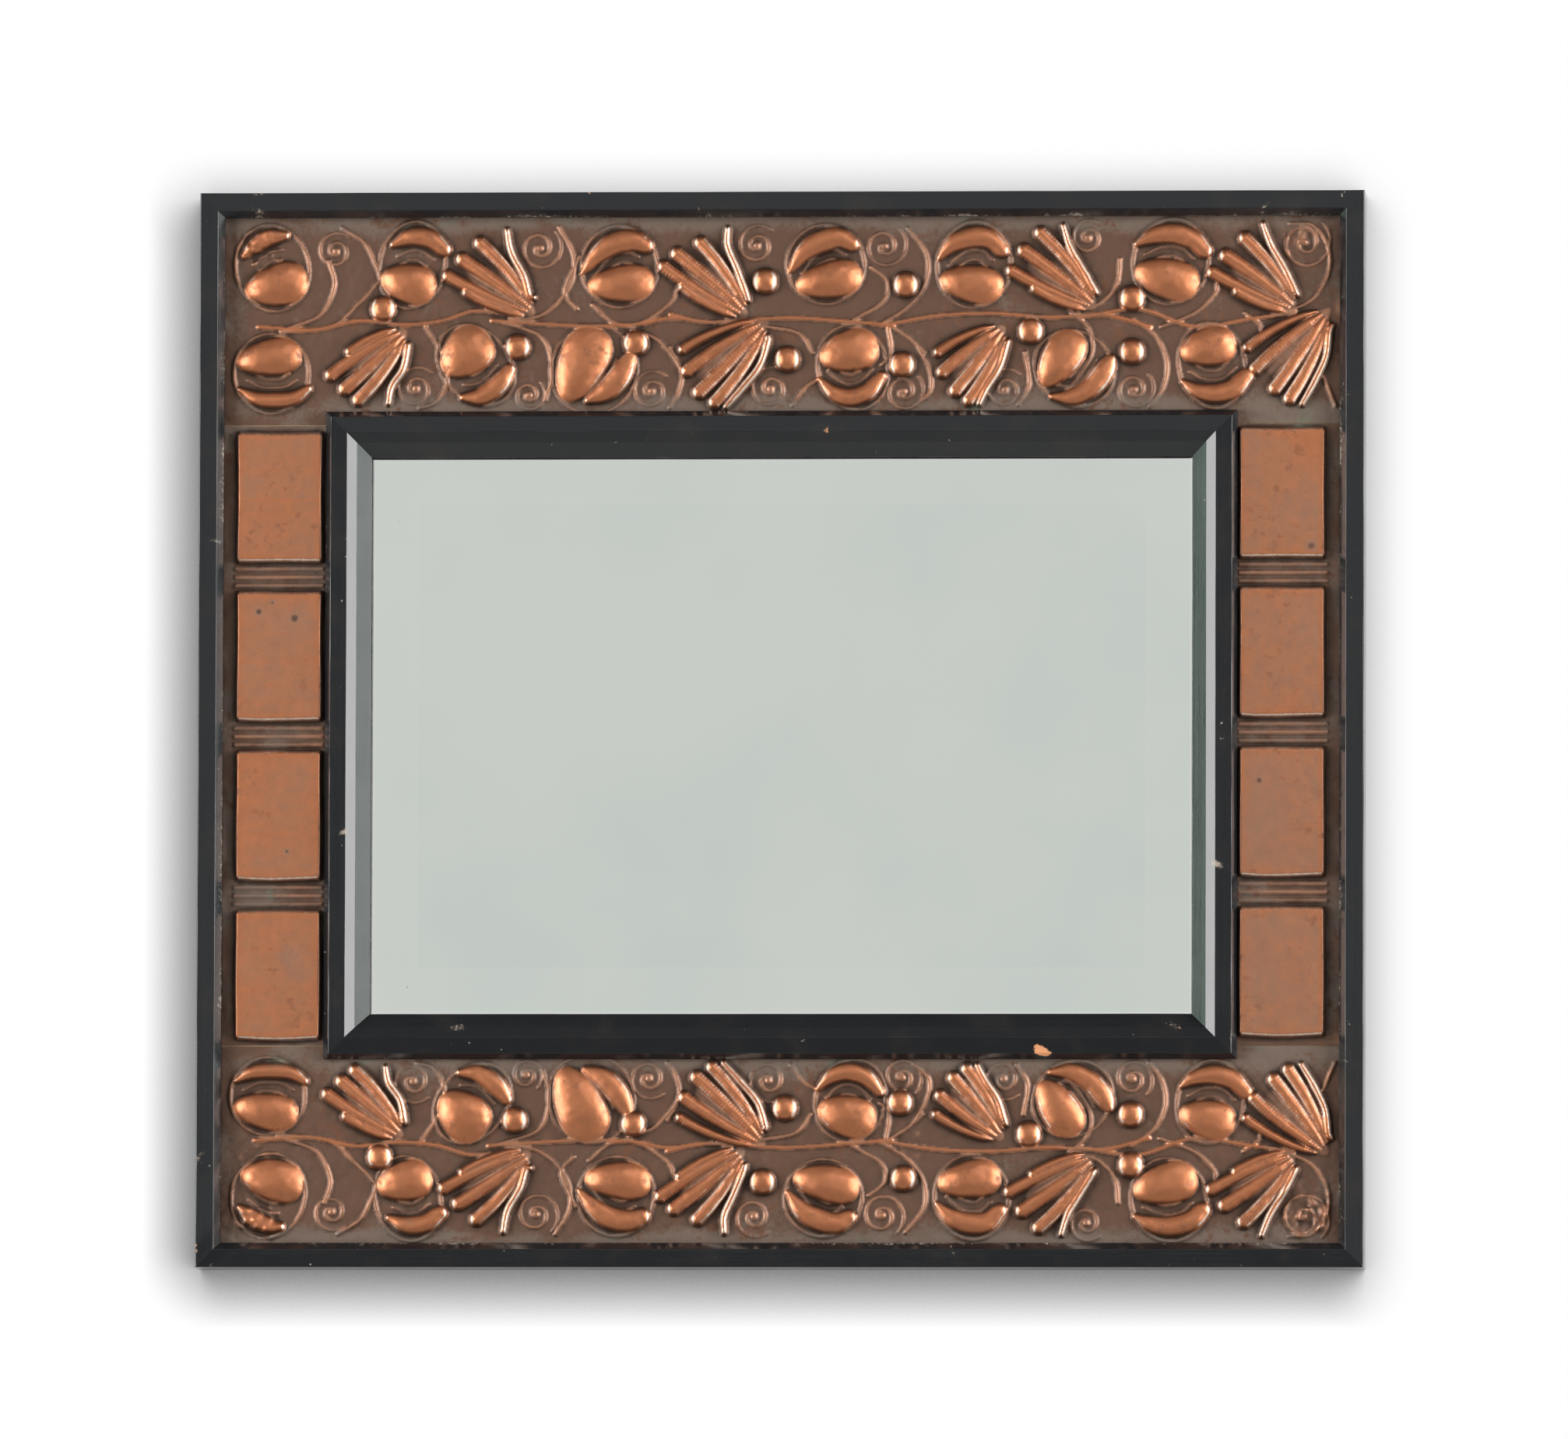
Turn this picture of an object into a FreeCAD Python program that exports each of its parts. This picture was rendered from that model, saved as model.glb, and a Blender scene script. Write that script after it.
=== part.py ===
import FreeCAD, Part
import math
import os
import Sketcher

# A wall mirror: embossed copper between two black mouldings round a bevelled plate.
# The wall is the plane y = 0, the front faces -Y, and the outline is centred on X and Z.

doc = FreeCAD.newDocument("wall_mirror")
sheet = doc.addObject("Spreadsheet::Sheet", "Sizes")

# Driving dimensions in millimetres; counts and shares are plain numbers
sizes = {
    # the whole
    "outer_width": 520, "outer_height": 480, "frame_depth": 27, "rear_recess": 7,
    # outer moulding
    "outer_rail_width": 8.5, "outer_rail_lip": 2.5, "outer_rail_chamfer": 3,
    # inner moulding
    "sight_width": 366.6, "sight_height": 248.8, "window_drop": 2.4,
    "inner_slope_run": 10.7, "inner_slope_drop": 10, "inner_flat_width": 5.6, "inner_chamfer": 4,
    "inner_rail_rise": 6.5, "sight_edge_thickness": 1.5, "rebate_width": 7.2, "inner_seat_width": 6.8,
    # carcase
    "carcase_thickness": 12, "dowel_diameter": 8, "dowel_length": 40, "dowel_spacing": 50,
    "glue_gap": 0.1,
    # copper
    "copper_thickness": 0.6, "sheet_gap": 0.2,
    "lobe_rise": 4.6, "crescent_rise": 3.2, "petal_rise": 3.4, "berry_rise": 4.2, "eye_rise": 1.6,
    "berry_diameter": 11, "eye_diameter": 12, "petal_width": 4.4, "lobe_width": 14, "crescent_width": 5.6,
    "tile_width": 38, "tile_height": 56, "tile_pitch": 72, "tile_rise": 3.4, "tile_slope": 2.6,
    "tile_drop": 1.4, "tile_inset": 1.4, "rib_width": 2.8, "rib_rise": 1.4, "rib_spacing": 4.3,
    "rib_end_gap": 2, "rib_seam_gap": 2.4,
    # the strip and the column for which the sizes of the raised forms are given
    "drawn_strip_width": 498, "drawn_strip_height": 81.9,
    "drawn_column_width": 45.4, "drawn_column_height": 289.4,
    # plate
    "plate_thickness": 4, "plate_edge_thickness": 2, "bevel_width": 24,
    "plate_side_gap": 1, "plate_front_gap": 0.3,
    # what holds the plate
    "block_length": 40, "block_width": 12, "block_gap": 0.15, "back_board_thickness": 4,
    "back_board_overlap": 14,
    # pins and screws
    "pin_diameter": 1.6, "pin_length": 20, "pin_spacing": 110,
    "screw_diameter": 3, "screw_head_diameter": 6, "screw_head_height": 1.6,
    "rail_screw_length": 16, "rail_screw_spacing": 180, "rail_screw_row": 3.4,
    "board_screw_length": 12, "board_screw_row": 5, "board_screw_spacing": 120,
    # hangers
    "hanger_spacing": 300, "hanger_drop": 48, "hanger_plate_width": 10, "hanger_plate_length": 22,
    "hanger_sheet": 1.2, "ring_wire": 2.5, "ring_fit": 0.05, "ring_inner_width": 15,
    "ring_reach": 36, "hanger_screw_length": 10, "hanger_screw_first": 8,
    "hanger_screw_pitch": 9,
    # the height above the back board for which the hangers' sizes are given
    "drawn_hanger_space": 88.3,
    # overrun of every cut
    "overrun": 2,
}
for row, (alias, number) in enumerate(sizes.items(), start=1):
    sheet.set("A%d" % row, alias)
    sheet.set("B%d" % row, str(number))
    sheet.setAlias("B%d" % row, alias)
doc.recompute()


def value(alias):
    return float(sheet.get(alias))


def valueOf(text):
    """The number that a formula of size names gives."""
    return float(sheet.evalExpression(text))


def bound(text):
    """Writes plain size names in a formula as names of the sheet."""
    words = []
    word = ""
    for mark in text + " ":
        if mark.isalnum() or mark == "_":
            word += mark
            continue
        words.append("<<Sizes>>." + word if word in sizes else word)
        words.append(mark)
        word = ""
    return "".join(words).strip()


# Levels along Y, from the wall to the front
carcaseBack = "-rear_recess"
carcaseFront = "-(rear_recess + carcase_thickness)"
copperFront = "-(rear_recess + carcase_thickness + copper_thickness)"
copperCover = "-(rear_recess + carcase_thickness + copper_thickness + sheet_gap)"
innerArris = "-(rear_recess + carcase_thickness + inner_rail_rise)"
sightFront = "-(rear_recess + carcase_thickness + inner_rail_rise - inner_slope_drop)"
sightBack = "-(rear_recess + carcase_thickness + inner_rail_rise - inner_slope_drop - sight_edge_thickness)"
bevelSlope = "((plate_thickness - plate_edge_thickness) / bevel_width)"
plateOverlap = "(rebate_width - plate_side_gap)"
bevelDrop = "(" + bevelSlope + " * (bevel_width - " + plateOverlap + "))"
plateFront = "(" + sightBack + " - " + bevelDrop + " + plate_front_gap)"
plateBack = "(" + plateFront + " + plate_thickness)"

# Reaches from the centre to the edges of each piece
innerRailWidth = "(inner_slope_run + inner_flat_width + inner_chamfer)"
carcaseReach = "(outer_%s / 2 - outer_rail_width)"
windowReach = "(sight_%s / 2 + rebate_width)"
plateReach = "(sight_%s / 2 + rebate_width - plate_side_gap)"
boardReach = "(sight_%s / 2 + rebate_width + back_board_overlap)"
seamReach = "(sight_%s / 2 + rebate_width + inner_seat_width + sheet_gap)"
windowMiddle = " - window_drop"


def bind(thing, prop, text):
    thing.setExpression(prop, bound(text))


def place(thing, x="0", y="0", z="0"):
    for axis, text in zip("xyz", (x, y, z)):
        if text != "0":
            bind(thing, "Placement.Base." + axis, text)


def box(name, x, y, z, length, depth, height):
    """A box from its low corner and its three sizes, all as formulas."""
    thing = doc.addObject("Part::Box", name)
    for prop, text in zip(("Length", "Width", "Height"), (length, depth, height)):
        bind(thing, prop, text)
    place(thing, x, y, z)
    return thing


def rod(name, diameter, length, x, y, z, axis):
    """A cylinder that starts at a point and runs along an axis."""
    thing = doc.addObject("Part::Cylinder", name)
    bind(thing, "Radius", "(" + diameter + ") / 2")
    bind(thing, "Height", length)
    turn = FreeCAD.Rotation(FreeCAD.Vector(0, 0, 1), FreeCAD.Vector(*axis))
    thing.Placement = FreeCAD.Placement(FreeCAD.Vector(), turn)
    place(thing, x, y, z)
    return thing


def cone(name, low, high, length, x, y, z, axis):
    """A cone frustum from its two diameters."""
    thing = doc.addObject("Part::Cone", name)
    bind(thing, "Radius1", "(" + low + ") / 2")
    bind(thing, "Radius2", "(" + high + ") / 2")
    bind(thing, "Height", length)
    turn = FreeCAD.Rotation(FreeCAD.Vector(0, 0, 1), FreeCAD.Vector(*axis))
    thing.Placement = FreeCAD.Placement(FreeCAD.Vector(), turn)
    place(thing, x, y, z)
    return thing


def group(name, things):
    whole = doc.addObject("Part::Compound", name)
    whole.Links = things
    return whole


def fused(name, things):
    whole = doc.addObject("Part::MultiFuse", name)
    whole.Shapes = things
    return whole


def cut(name, base, tools):
    """The base less its tools, which are joined first when they are several."""
    whole = doc.addObject("Part::Cut", name)
    whole.Base = base
    whole.Tool = tools[0] if len(tools) == 1 else group(name + "_tools", tools)
    return whole


def plane(body, role):
    return next(item for item in body.Origin.OriginFeatures if item.Role == role)


def polygon(body, name, role, corners):
    """A closed sketch whose corners are bound to formulas."""
    sketch = body.newObject("Sketcher::SketchObject", name)
    sketch.AttachmentSupport = [(plane(body, role), "")]
    sketch.MapMode = "FlatFace"
    rough = [(valueOf(across), valueOf(up)) for across, up in corners]
    count = len(corners)
    for index in range(count):
        start = FreeCAD.Vector(*rough[index], 0)
        end = FreeCAD.Vector(*rough[(index + 1) % count], 0)
        sketch.addGeometry(Part.LineSegment(start, end), False)
    for index in range(count):
        sketch.addConstraint(Sketcher.Constraint("Coincident", index, 2, (index + 1) % count, 1))
    for index, (across, up) in enumerate(corners):
        for kind, text, number in zip(("DistanceX", "DistanceY"), (across, up), rough[index]):
            spot = sketch.addConstraint(Sketcher.Constraint(kind, -1, 1, index, 1, number))
            sketch.setExpression("Constraints[%d]" % spot, bound(text))
    return sketch


def pad(body, sketch, name, length):
    thing = body.newObject("PartDesign::Pad", name)
    thing.Profile = sketch
    thing.Midplane = True
    thing.setExpression("Length", bound(length))
    sketch.Visibility = False
    return thing


def pocket(body, sketch, name):
    thing = body.newObject("PartDesign::Pocket", name)
    thing.Profile = sketch
    thing.Type = 1
    thing.Midplane = True
    sketch.Visibility = False
    return thing


# Each side of the frame: its turn about Y, the size across it and the size along it
sideRuns = (("top", "height", "width"), ("right", "width", "height"),
            ("bottom", "height", "width"), ("left", "width", "height"))
sides = {side: (90 * quarter, across, along) for quarter, (side, across, along) in enumerate(sideRuns)}


def spread(spacing, reach):
    """Even places along a rail, as shares of its span, at about the given spacing."""
    gaps = max(1, round(2 * valueOf(reach) / value(spacing)))
    return [index / gaps - 0.5 for index in range(gaps + 1)]


def railBody(name, corners, length, mitreReach, mitreEnd, mitreDepth):
    """A straight moulding with a mitre at each end, built at the top and turned to its side."""
    body = doc.addObject("PartDesign::Body", name)
    section = polygon(body, name + "_section", "YZ_Plane", corners)
    pad(body, section, name + "_length", length)
    for hand, sign in (("right", ""), ("left", "-")):
        outside = sign + "(" + mitreEnd + " + overrun)"
        inside = sign + "(" + mitreEnd + " - " + mitreDepth + ")"
        triangle = [
            (outside, mitreReach + " + overrun"),
            (inside, mitreReach + " - " + mitreDepth),
            (outside, mitreReach + " - " + mitreDepth),
        ]
        mitre = polygon(body, name + "_mitre_sketch_" + hand, "XZ_Plane", triangle)
        pocket(body, mitre, name + "_mitre_" + hand)
    return body


def turned(body, turn):
    body.Placement = FreeCAD.Placement(FreeCAD.Vector(), FreeCAD.Rotation(FreeCAD.Vector(0, 1, 0), turn))
    return body


# Places along each side of the frame, for what is spaced along it
def alongPoint(turn, along, reach, middle=""):
    """World X and Z formulas of a point that is along a side and out at its reach."""
    if turn == 0:
        return along, reach + middle
    if turn == 90:
        return reach, "-(" + along + ")" + middle
    if turn == 180:
        return "-(" + along + ")", "-(" + reach + ")" + middle
    return "-(" + reach + ")", along + middle


outward = {0: (0, 0, 1), 90: (1, 0, 0), 180: (0, 0, -1), 270: (-1, 0, 0)}
inward = {turn: tuple(-part for part in axis) for turn, axis in outward.items()}

parts = {}

# Outer mouldings: full depth to the wall, with a lip over the edge of the copper
pinLevel = "-(rear_recess + carcase_thickness / 2)"
pinTools = {}
pinRods = []
for side, (turn, across, along) in sides.items():
    name = "outer_rail_" + side
    reach = "outer_" + across + " / 2"
    end = "outer_" + along + " / 2"
    inner = reach + " - outer_rail_width"
    lip = inner + " - outer_rail_lip"
    corners = [
        ("0", inner), ("0", reach), ("-frame_depth", reach),
        ("-frame_depth", lip + " + outer_rail_chamfer"),
        ("-frame_depth + outer_rail_chamfer", lip),
        (copperCover, lip), (copperCover, inner),
    ]
    blank = railBody(name + "_blank", corners, "2 * (" + end + ")", reach, end,
                     "(outer_rail_width + outer_rail_lip + overrun)")
    turned(blank, turn)
    tools = []
    pinReach = "(sight_%s / 2 - rebate_width - dowel_length / 2)" % along
    for index, share in enumerate(spread("pin_spacing", pinReach), start=1):
        x, z = alongPoint(turn, "2 * %s * %.6f" % (pinReach, share), reach)
        pinRods.append(rod("pin_%s_%d" % (side, index), "pin_diameter", "pin_length", x, pinLevel, z,
                           inward[turn]))
        tools.append(rod("pin_hole_%s_%d" % (side, index), "pin_diameter + 2 * glue_gap",
                         "pin_length + glue_gap", x, pinLevel, z, inward[turn]))
    pinTools[side] = tools
    parts[name] = cut(name, blank, tools)
parts["outer_rail_pins"] = group("outer_rail_pins", pinRods)

# Inner mouldings: a tongue in the window, a seat on the carcase and a foot over the copper
screwTools = {}
railScrews = []
for side, (turn, across, along) in sides.items():
    name = "inner_rail_" + side
    sight = "sight_" + across + " / 2"
    foot = sight + " + " + innerRailWidth
    end = "sight_" + along + " / 2 + " + innerRailWidth
    seatOut = sight + " + rebate_width + inner_seat_width"
    tongue = sight + " + rebate_width - sheet_gap"
    corners = [
        (sightFront, sight), (innerArris, sight + " + inner_slope_run"),
        (innerArris, sight + " + inner_slope_run + inner_flat_width"),
        (innerArris + " + inner_chamfer", foot),
        (copperCover, foot), (copperCover, seatOut), (carcaseFront, seatOut),
        (carcaseFront, tongue), (sightBack, tongue), (sightBack, sight),
    ]
    blank = railBody(name + "_blank", corners, "2 * (" + end + ")", foot, end,
                     "(" + innerRailWidth + " + overrun)")
    turned(blank, turn)
    place(blank, z="-window_drop")
    tools = []
    screwReach = sight + " + rebate_width + rail_screw_row"
    screwSpan = "(sight_%s / 2 - rebate_width - dowel_length / 2)" % along
    for index, share in enumerate(spread("rail_screw_spacing", screwSpan), start=1):
        x, z = alongPoint(turn, "2 * %s * %.6f" % (screwSpan, share), screwReach, windowMiddle)
        label = "rail_screw_%s_%d" % (side, index)
        shank = rod(label + "_shank", "screw_diameter", "rail_screw_length", x, carcaseBack, z, (0, -1, 0))
        head = cone(label + "_head", "screw_head_diameter", "screw_diameter", "screw_head_height",
                    x, carcaseBack, z, (0, -1, 0))
        railScrews.append(fused(label, [shank, head]))
        hole = rod(label + "_hole", "screw_diameter + 2 * glue_gap", "rail_screw_length + glue_gap",
                   x, carcaseBack, z, (0, -1, 0))
        sink = cone(label + "_sink", "screw_head_diameter + 2 * glue_gap", "screw_diameter + 2 * glue_gap",
                    "screw_head_height + glue_gap", x, carcaseBack, z, (0, -1, 0))
        tools.extend([hole, sink])
    screwTools[side] = tools
    parts[name] = cut(name, blank, tools)
parts["inner_rail_screws"] = group("inner_rail_screws", railScrews)

# Carcase: top and bottom boards run through, stiles stand between them on dowels
dowelTools = []
dowels = []
dowelLevel = "-(rear_recess + carcase_thickness / 2)"
stileMiddle = "((" + carcaseReach % "width" + " + " + windowReach % "width" + ") / 2)"
for up, upSign in (("top", ""), ("bottom", "-")):
    for hand, handSign in (("right", ""), ("left", "-")):
        for index, shareSign in ((1, "-"), (2, "+")):
            x = "%s(%s %s dowel_spacing / 4)" % (handSign, stileMiddle, shareSign)
            low = upSign + windowReach % "height" + windowMiddle
            label = "dowel_%s_%s_%d" % (up, hand, index)
            dowels.append(rod(label, "dowel_diameter", "dowel_length", x, dowelLevel,
                              low + " - dowel_length / 2", (0, 0, 1)))
            dowelTools.append(rod(label + "_hole", "dowel_diameter + 2 * glue_gap",
                                  "dowel_length + 2 * glue_gap", x, dowelLevel,
                                  low + " - dowel_length / 2 - glue_gap", (0, 0, 1)))
parts["carcase_dowels"] = group("carcase_dowels", dowels)

hangerX = {"left": "-hanger_spacing / 2", "right": "hanger_spacing / 2"}
eyeRadius = "(ring_wire / 2 + ring_fit + hanger_sheet)"
eyeLevel = "(-rear_recess + " + eyeRadius + ")"
hangerGrowth = ("((outer_height / 2 - outer_rail_width - " + boardReach % "height"
                + " + window_drop) / drawn_hanger_space)")
eyeHeight = "(outer_height / 2 - hanger_drop * " + hangerGrowth + ")"
hangerHoles = []
hangerBits = {}
for hand in ("left", "right"):
    x = hangerX[hand]
    screws = []
    for index in (1, 2):
        down = "(hanger_screw_first + %d * hanger_screw_pitch) * " % (index - 1) + hangerGrowth
        z = eyeHeight + " - " + down
        label = "hanger_screw_%s_%d" % (hand, index)
        top = "-rear_recess + hanger_sheet"
        shank = rod(label + "_shank", "screw_diameter", "hanger_screw_length + hanger_sheet", x, top, z,
                    (0, -1, 0))
        head = cone(label + "_head", "screw_head_diameter", "screw_diameter", "screw_head_height",
                    x, top, z, (0, 1, 0))
        screws.append(fused(label, [shank, head]))
        hangerHoles.append(rod(label + "_hole", "screw_diameter + 2 * glue_gap",
                               "hanger_screw_length + hanger_sheet + glue_gap", x, top, z, (0, -1, 0)))
    hangerBits[hand] = hangerHoles[-2:]
    parts["hanger_screws_" + hand] = group("hanger_screws_" + hand, screws)

boardScrewTools = {}
boardScrews = []
boardTools = []
for side, (turn, across, along) in sides.items():
    tools = []
    screwReach = boardReach % across + " - board_screw_row"
    screwSpan = "(" + windowReach % along + " - 3 * board_screw_row)"
    for index, share in enumerate(spread("board_screw_spacing", screwSpan), start=1):
        x, z = alongPoint(turn, "2 * %s * %.6f" % (screwSpan, share), screwReach, windowMiddle)
        label = "board_screw_%s_%d" % (side, index)
        top = "-rear_recess + back_board_thickness"
        shank = rod(label + "_shank", "screw_diameter", "board_screw_length", x, top, z, (0, -1, 0))
        head = cone(label + "_head", "screw_head_diameter", "screw_diameter", "screw_head_height",
                    x, top, z, (0, 1, 0))
        boardScrews.append(fused(label, [shank, head]))
        tools.append(rod(label + "_hole", "screw_diameter + 2 * glue_gap", "board_screw_length + glue_gap",
                         x, top, z, (0, -1, 0)))
    boardScrewTools[side] = tools
    boardTools.extend(tools)
parts["back_board_screws"] = group("back_board_screws", boardScrews)

boardHeight = carcaseReach % "height" + " - " + windowReach % "height"
stileWidth = carcaseReach % "width" + " - " + windowReach % "width"
boards = {
    "carcase_board_top": ("top", "-" + carcaseReach % "width", windowReach % "height" + windowMiddle,
                          "2 * " + carcaseReach % "width", boardHeight + " + window_drop"),
    "carcase_board_bottom": ("bottom", "-" + carcaseReach % "width", "-" + carcaseReach % "height",
                             "2 * " + carcaseReach % "width", boardHeight + " - window_drop"),
    "carcase_stile_left": ("left", "-" + carcaseReach % "width",
                           "-" + windowReach % "height" + windowMiddle,
                           stileWidth, "2 * " + windowReach % "height"),
    "carcase_stile_right": ("right", windowReach % "width", "-" + windowReach % "height" + windowMiddle,
                            stileWidth, "2 * " + windowReach % "height"),
}
for name, (side, x, z, length, height) in boards.items():
    blank = box(name + "_blank", x, carcaseFront, z, length, "carcase_thickness", height)
    near = pinTools[side] + screwTools[side] + boardScrewTools[side]
    if side == "top":
        near = near + hangerHoles
    near = near + [tool for tool in dowelTools if side in tool.Name]
    parts[name] = cut(name, blank, near)

# Mirror plate: a flat slab whose front border is ground to a shallow bevel


def plateShape():
    """The plate as a slab under a frustum: the bevel falls to the edge on all four sides."""
    halfWide = valueOf(plateReach % "width")
    halfHigh = valueOf(plateReach % "height")
    back = valueOf(plateBack)
    front = valueOf(plateFront)
    edge = back - value("plate_edge_thickness")
    bevel = value("bevel_width")

    def ring(wide, high, level):
        points = [FreeCAD.Vector(x * wide, level, z * high - value("window_drop"))
                  for x, z in ((-1, -1), (1, -1), (1, 1), (-1, 1))]
        return Part.makePolygon(points + points[:1])
    slab = Part.makeLoft([ring(halfWide, halfHigh, back), ring(halfWide, halfHigh, edge)], True, True)
    crown = Part.makeLoft([ring(halfWide, halfHigh, edge), ring(halfWide - bevel, halfHigh - bevel, front)],
                          True, True)
    return slab.fuse(crown).removeSplitter()


def feature(name, shape):
    thing = doc.addObject("Part::Feature", name)
    thing.Shape = shape
    return thing


parts["mirror_plate"] = feature("mirror_plate", plateShape())

# Softwood blocks between the plate and the back board, round the border
blocks = []
blockShares = (-0.36, 0, 0.36)
blockDepth = "(-rear_recess - " + plateBack + " - 2 * block_gap)"
for side, (turn, across, along) in sides.items():
    for index, share in enumerate(blockShares, start=1):
        near = plateReach % across
        middle = "2 * " + plateReach % along + " * %.6f" % share
        label = "glass_block_%s_%d" % (side, index)
        if turn in (0, 180):
            x = middle + " - block_length / 2"
            z = (near + " - block_width" if turn == 0 else "-(" + near + ")") + windowMiddle
            length, height = "block_length", "block_width"
        else:
            x = near + " - block_width" if turn == 90 else "-(" + near + ")"
            z = middle + " - block_length / 2" + windowMiddle
            length, height = "block_width", "block_length"
        blocks.append(box(label, x, plateBack + " + block_gap", z, length, blockDepth, height))
parts["glass_blocks"] = group("glass_blocks", blocks)

backBoard = box("back_board_blank", "-" + boardReach % "width", carcaseBack,
                "-" + boardReach % "height" + windowMiddle,
                "2 * " + boardReach % "width", "back_board_thickness", "2 * " + boardReach % "height")
parts["back_board"] = cut("back_board", backBoard, boardTools)

# Hanger plates: a strip against the carcase with a rolled eye along its upper edge
for hand in ("left", "right"):
    x = hangerX[hand]
    low = x + " - hanger_plate_width / 2"
    plateLength = "hanger_plate_length * " + hangerGrowth
    strip = box("hanger_strip_" + hand, low, carcaseBack, eyeHeight + " - " + plateLength,
                "hanger_plate_width", "hanger_sheet", plateLength)
    barrel = rod("hanger_barrel_" + hand, "2 * " + eyeRadius, "hanger_plate_width", low, eyeLevel,
                 eyeHeight, (1, 0, 0))
    solid = fused("hanger_solid_" + hand, [strip, barrel])
    eye = rod("hanger_eye_" + hand, "ring_wire + 2 * ring_fit", "hanger_plate_width + 2 * overrun",
              low + " - overrun", eyeLevel, eyeHeight, (1, 0, 0))
    parts["hanger_plate_" + hand] = cut("hanger_plate_" + hand, solid, [eye] + hangerBits[hand])


def ringShape():
    """A D of round wire: a straight bar, two legs and a half-round foot, as one swept wire."""
    radius = value("ring_wire") / 2
    half = value("ring_inner_width") / 2 + radius
    foot = valueOf("ring_reach * " + hangerGrowth) - half - radius
    bend = value("ring_wire")
    left, right = -half, half
    turnShare = math.cos(math.pi / 4)

    def vector(x, z):
        return FreeCAD.Vector(x, 0, z)
    edges = [
        Part.makeLine(vector(0, 0), vector(right - bend, 0)),
        Part.Arc(vector(right - bend, 0), vector(right - bend + bend * turnShare, bend * turnShare - bend),
                 vector(right, -bend)).toShape(),
        Part.makeLine(vector(right, -bend), vector(right, -foot)),
        Part.Arc(vector(right, -foot), vector(0, -foot - half), vector(left, -foot)).toShape(),
        Part.makeLine(vector(left, -foot), vector(left, -bend)),
        Part.Arc(vector(left, -bend), vector(left + bend - bend * turnShare, bend * turnShare - bend),
                 vector(left + bend, 0)).toShape(),
        Part.makeLine(vector(left + bend, 0), vector(0, 0)),
    ]
    path = Part.Wire(edges)
    circle = Part.Wire([Part.makeCircle(radius, vector(0, 0), FreeCAD.Vector(1, 0, 0))])
    return path.makePipeShell([circle], True, False)


for hand in ("left", "right"):
    ring = feature("hanger_ring_" + hand, ringShape())
    ring.Placement = FreeCAD.Placement(
        FreeCAD.Vector(valueOf(hangerX[hand]), valueOf(eyeLevel), valueOf(eyeHeight)), FreeCAD.Rotation())
    parts["hanger_ring_" + hand] = ring

# Embossed copper. A sheet is a front face and a back face with matching holes, and each
# embossed form closes its hole with a dome in front and a smaller dome behind.

# Pods: across share, up share, half length share, turn in degrees, rows as on the top strip
lobeShares = [
    (0.048, 0.670, 0.032, 14), (0.165, 0.675, 0.029, -12), (0.357, 0.665, 0.034, 6),
    (0.540, 0.675, 0.033, 12), (0.671, 0.660, 0.031, -8), (0.846, 0.685, 0.031, -16),
    (0.045, 0.280, 0.032, 8), (0.217, 0.310, 0.026, 52), (0.321, 0.270, 0.031, 66),
    (0.563, 0.310, 0.030, 18), (0.752, 0.275, 0.031, 52), (0.879, 0.310, 0.030, 12),
]
crescentShares = [
    (0.033, 0.880, 0.022, 42), (0.174, 0.905, 0.025, -4), (0.352, 0.895, 0.027, 12),
    (0.533, 0.885, 0.028, 22), (0.672, 0.890, 0.027, 2), (0.853, 0.905, 0.026, -16),
    (0.045, 0.070, 0.030, 2), (0.242, 0.115, 0.025, 34), (0.350, 0.145, 0.024, 50),
    (0.566, 0.075, 0.028, 8), (0.778, 0.120, 0.027, 42), (0.890, 0.085, 0.027, 12),
]
berryShares = [
    (0.142, 0.540), (0.483, 0.660), (0.611, 0.640), (0.814, 0.570), (0.264, 0.320),
    (0.370, 0.340), (0.504, 0.260), (0.722, 0.410), (0.609, 0.255), (0.814, 0.300),
]
eyeShares = [
    (0.099, 0.840), (0.285, 0.840), (0.477, 0.850), (0.595, 0.840), (0.786, 0.860), (0.966, 0.830),
    (0.171, 0.110), (0.273, 0.095), (0.387, 0.110), (0.491, 0.110), (0.611, 0.090), (0.702, 0.105),
    (0.815, 0.110),
]
# Tulips: the foot where the petals meet, then the tip of each petal
tulipShares = [
    ((0.273, 0.540), [(0.205, 0.690), (0.214, 0.785), (0.231, 0.870), (0.254, 0.930)]),
    ((0.468, 0.520), [(0.398, 0.710), (0.408, 0.800), (0.427, 0.870), (0.450, 0.920)]),
    ((0.780, 0.570), [(0.707, 0.710), (0.719, 0.830), (0.733, 0.905), (0.750, 0.935)]),
    ((0.957, 0.540), [(0.890, 0.700), (0.898, 0.800), (0.916, 0.890), (0.933, 0.935)]),
    ((0.158, 0.410), [(0.093, 0.215), (0.107, 0.115), (0.123, 0.065), (0.149, 0.050)]),
    ((0.484, 0.420), [(0.414, 0.300), (0.420, 0.190), (0.432, 0.095), (0.452, 0.050)]),
    ((0.697, 0.400), [(0.637, 0.290), (0.644, 0.195), (0.656, 0.100), (0.676, 0.050)]),
    ((0.982, 0.460), [(0.917, 0.300), (0.924, 0.200), (0.942, 0.100), (0.963, 0.050)]),
]


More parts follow.
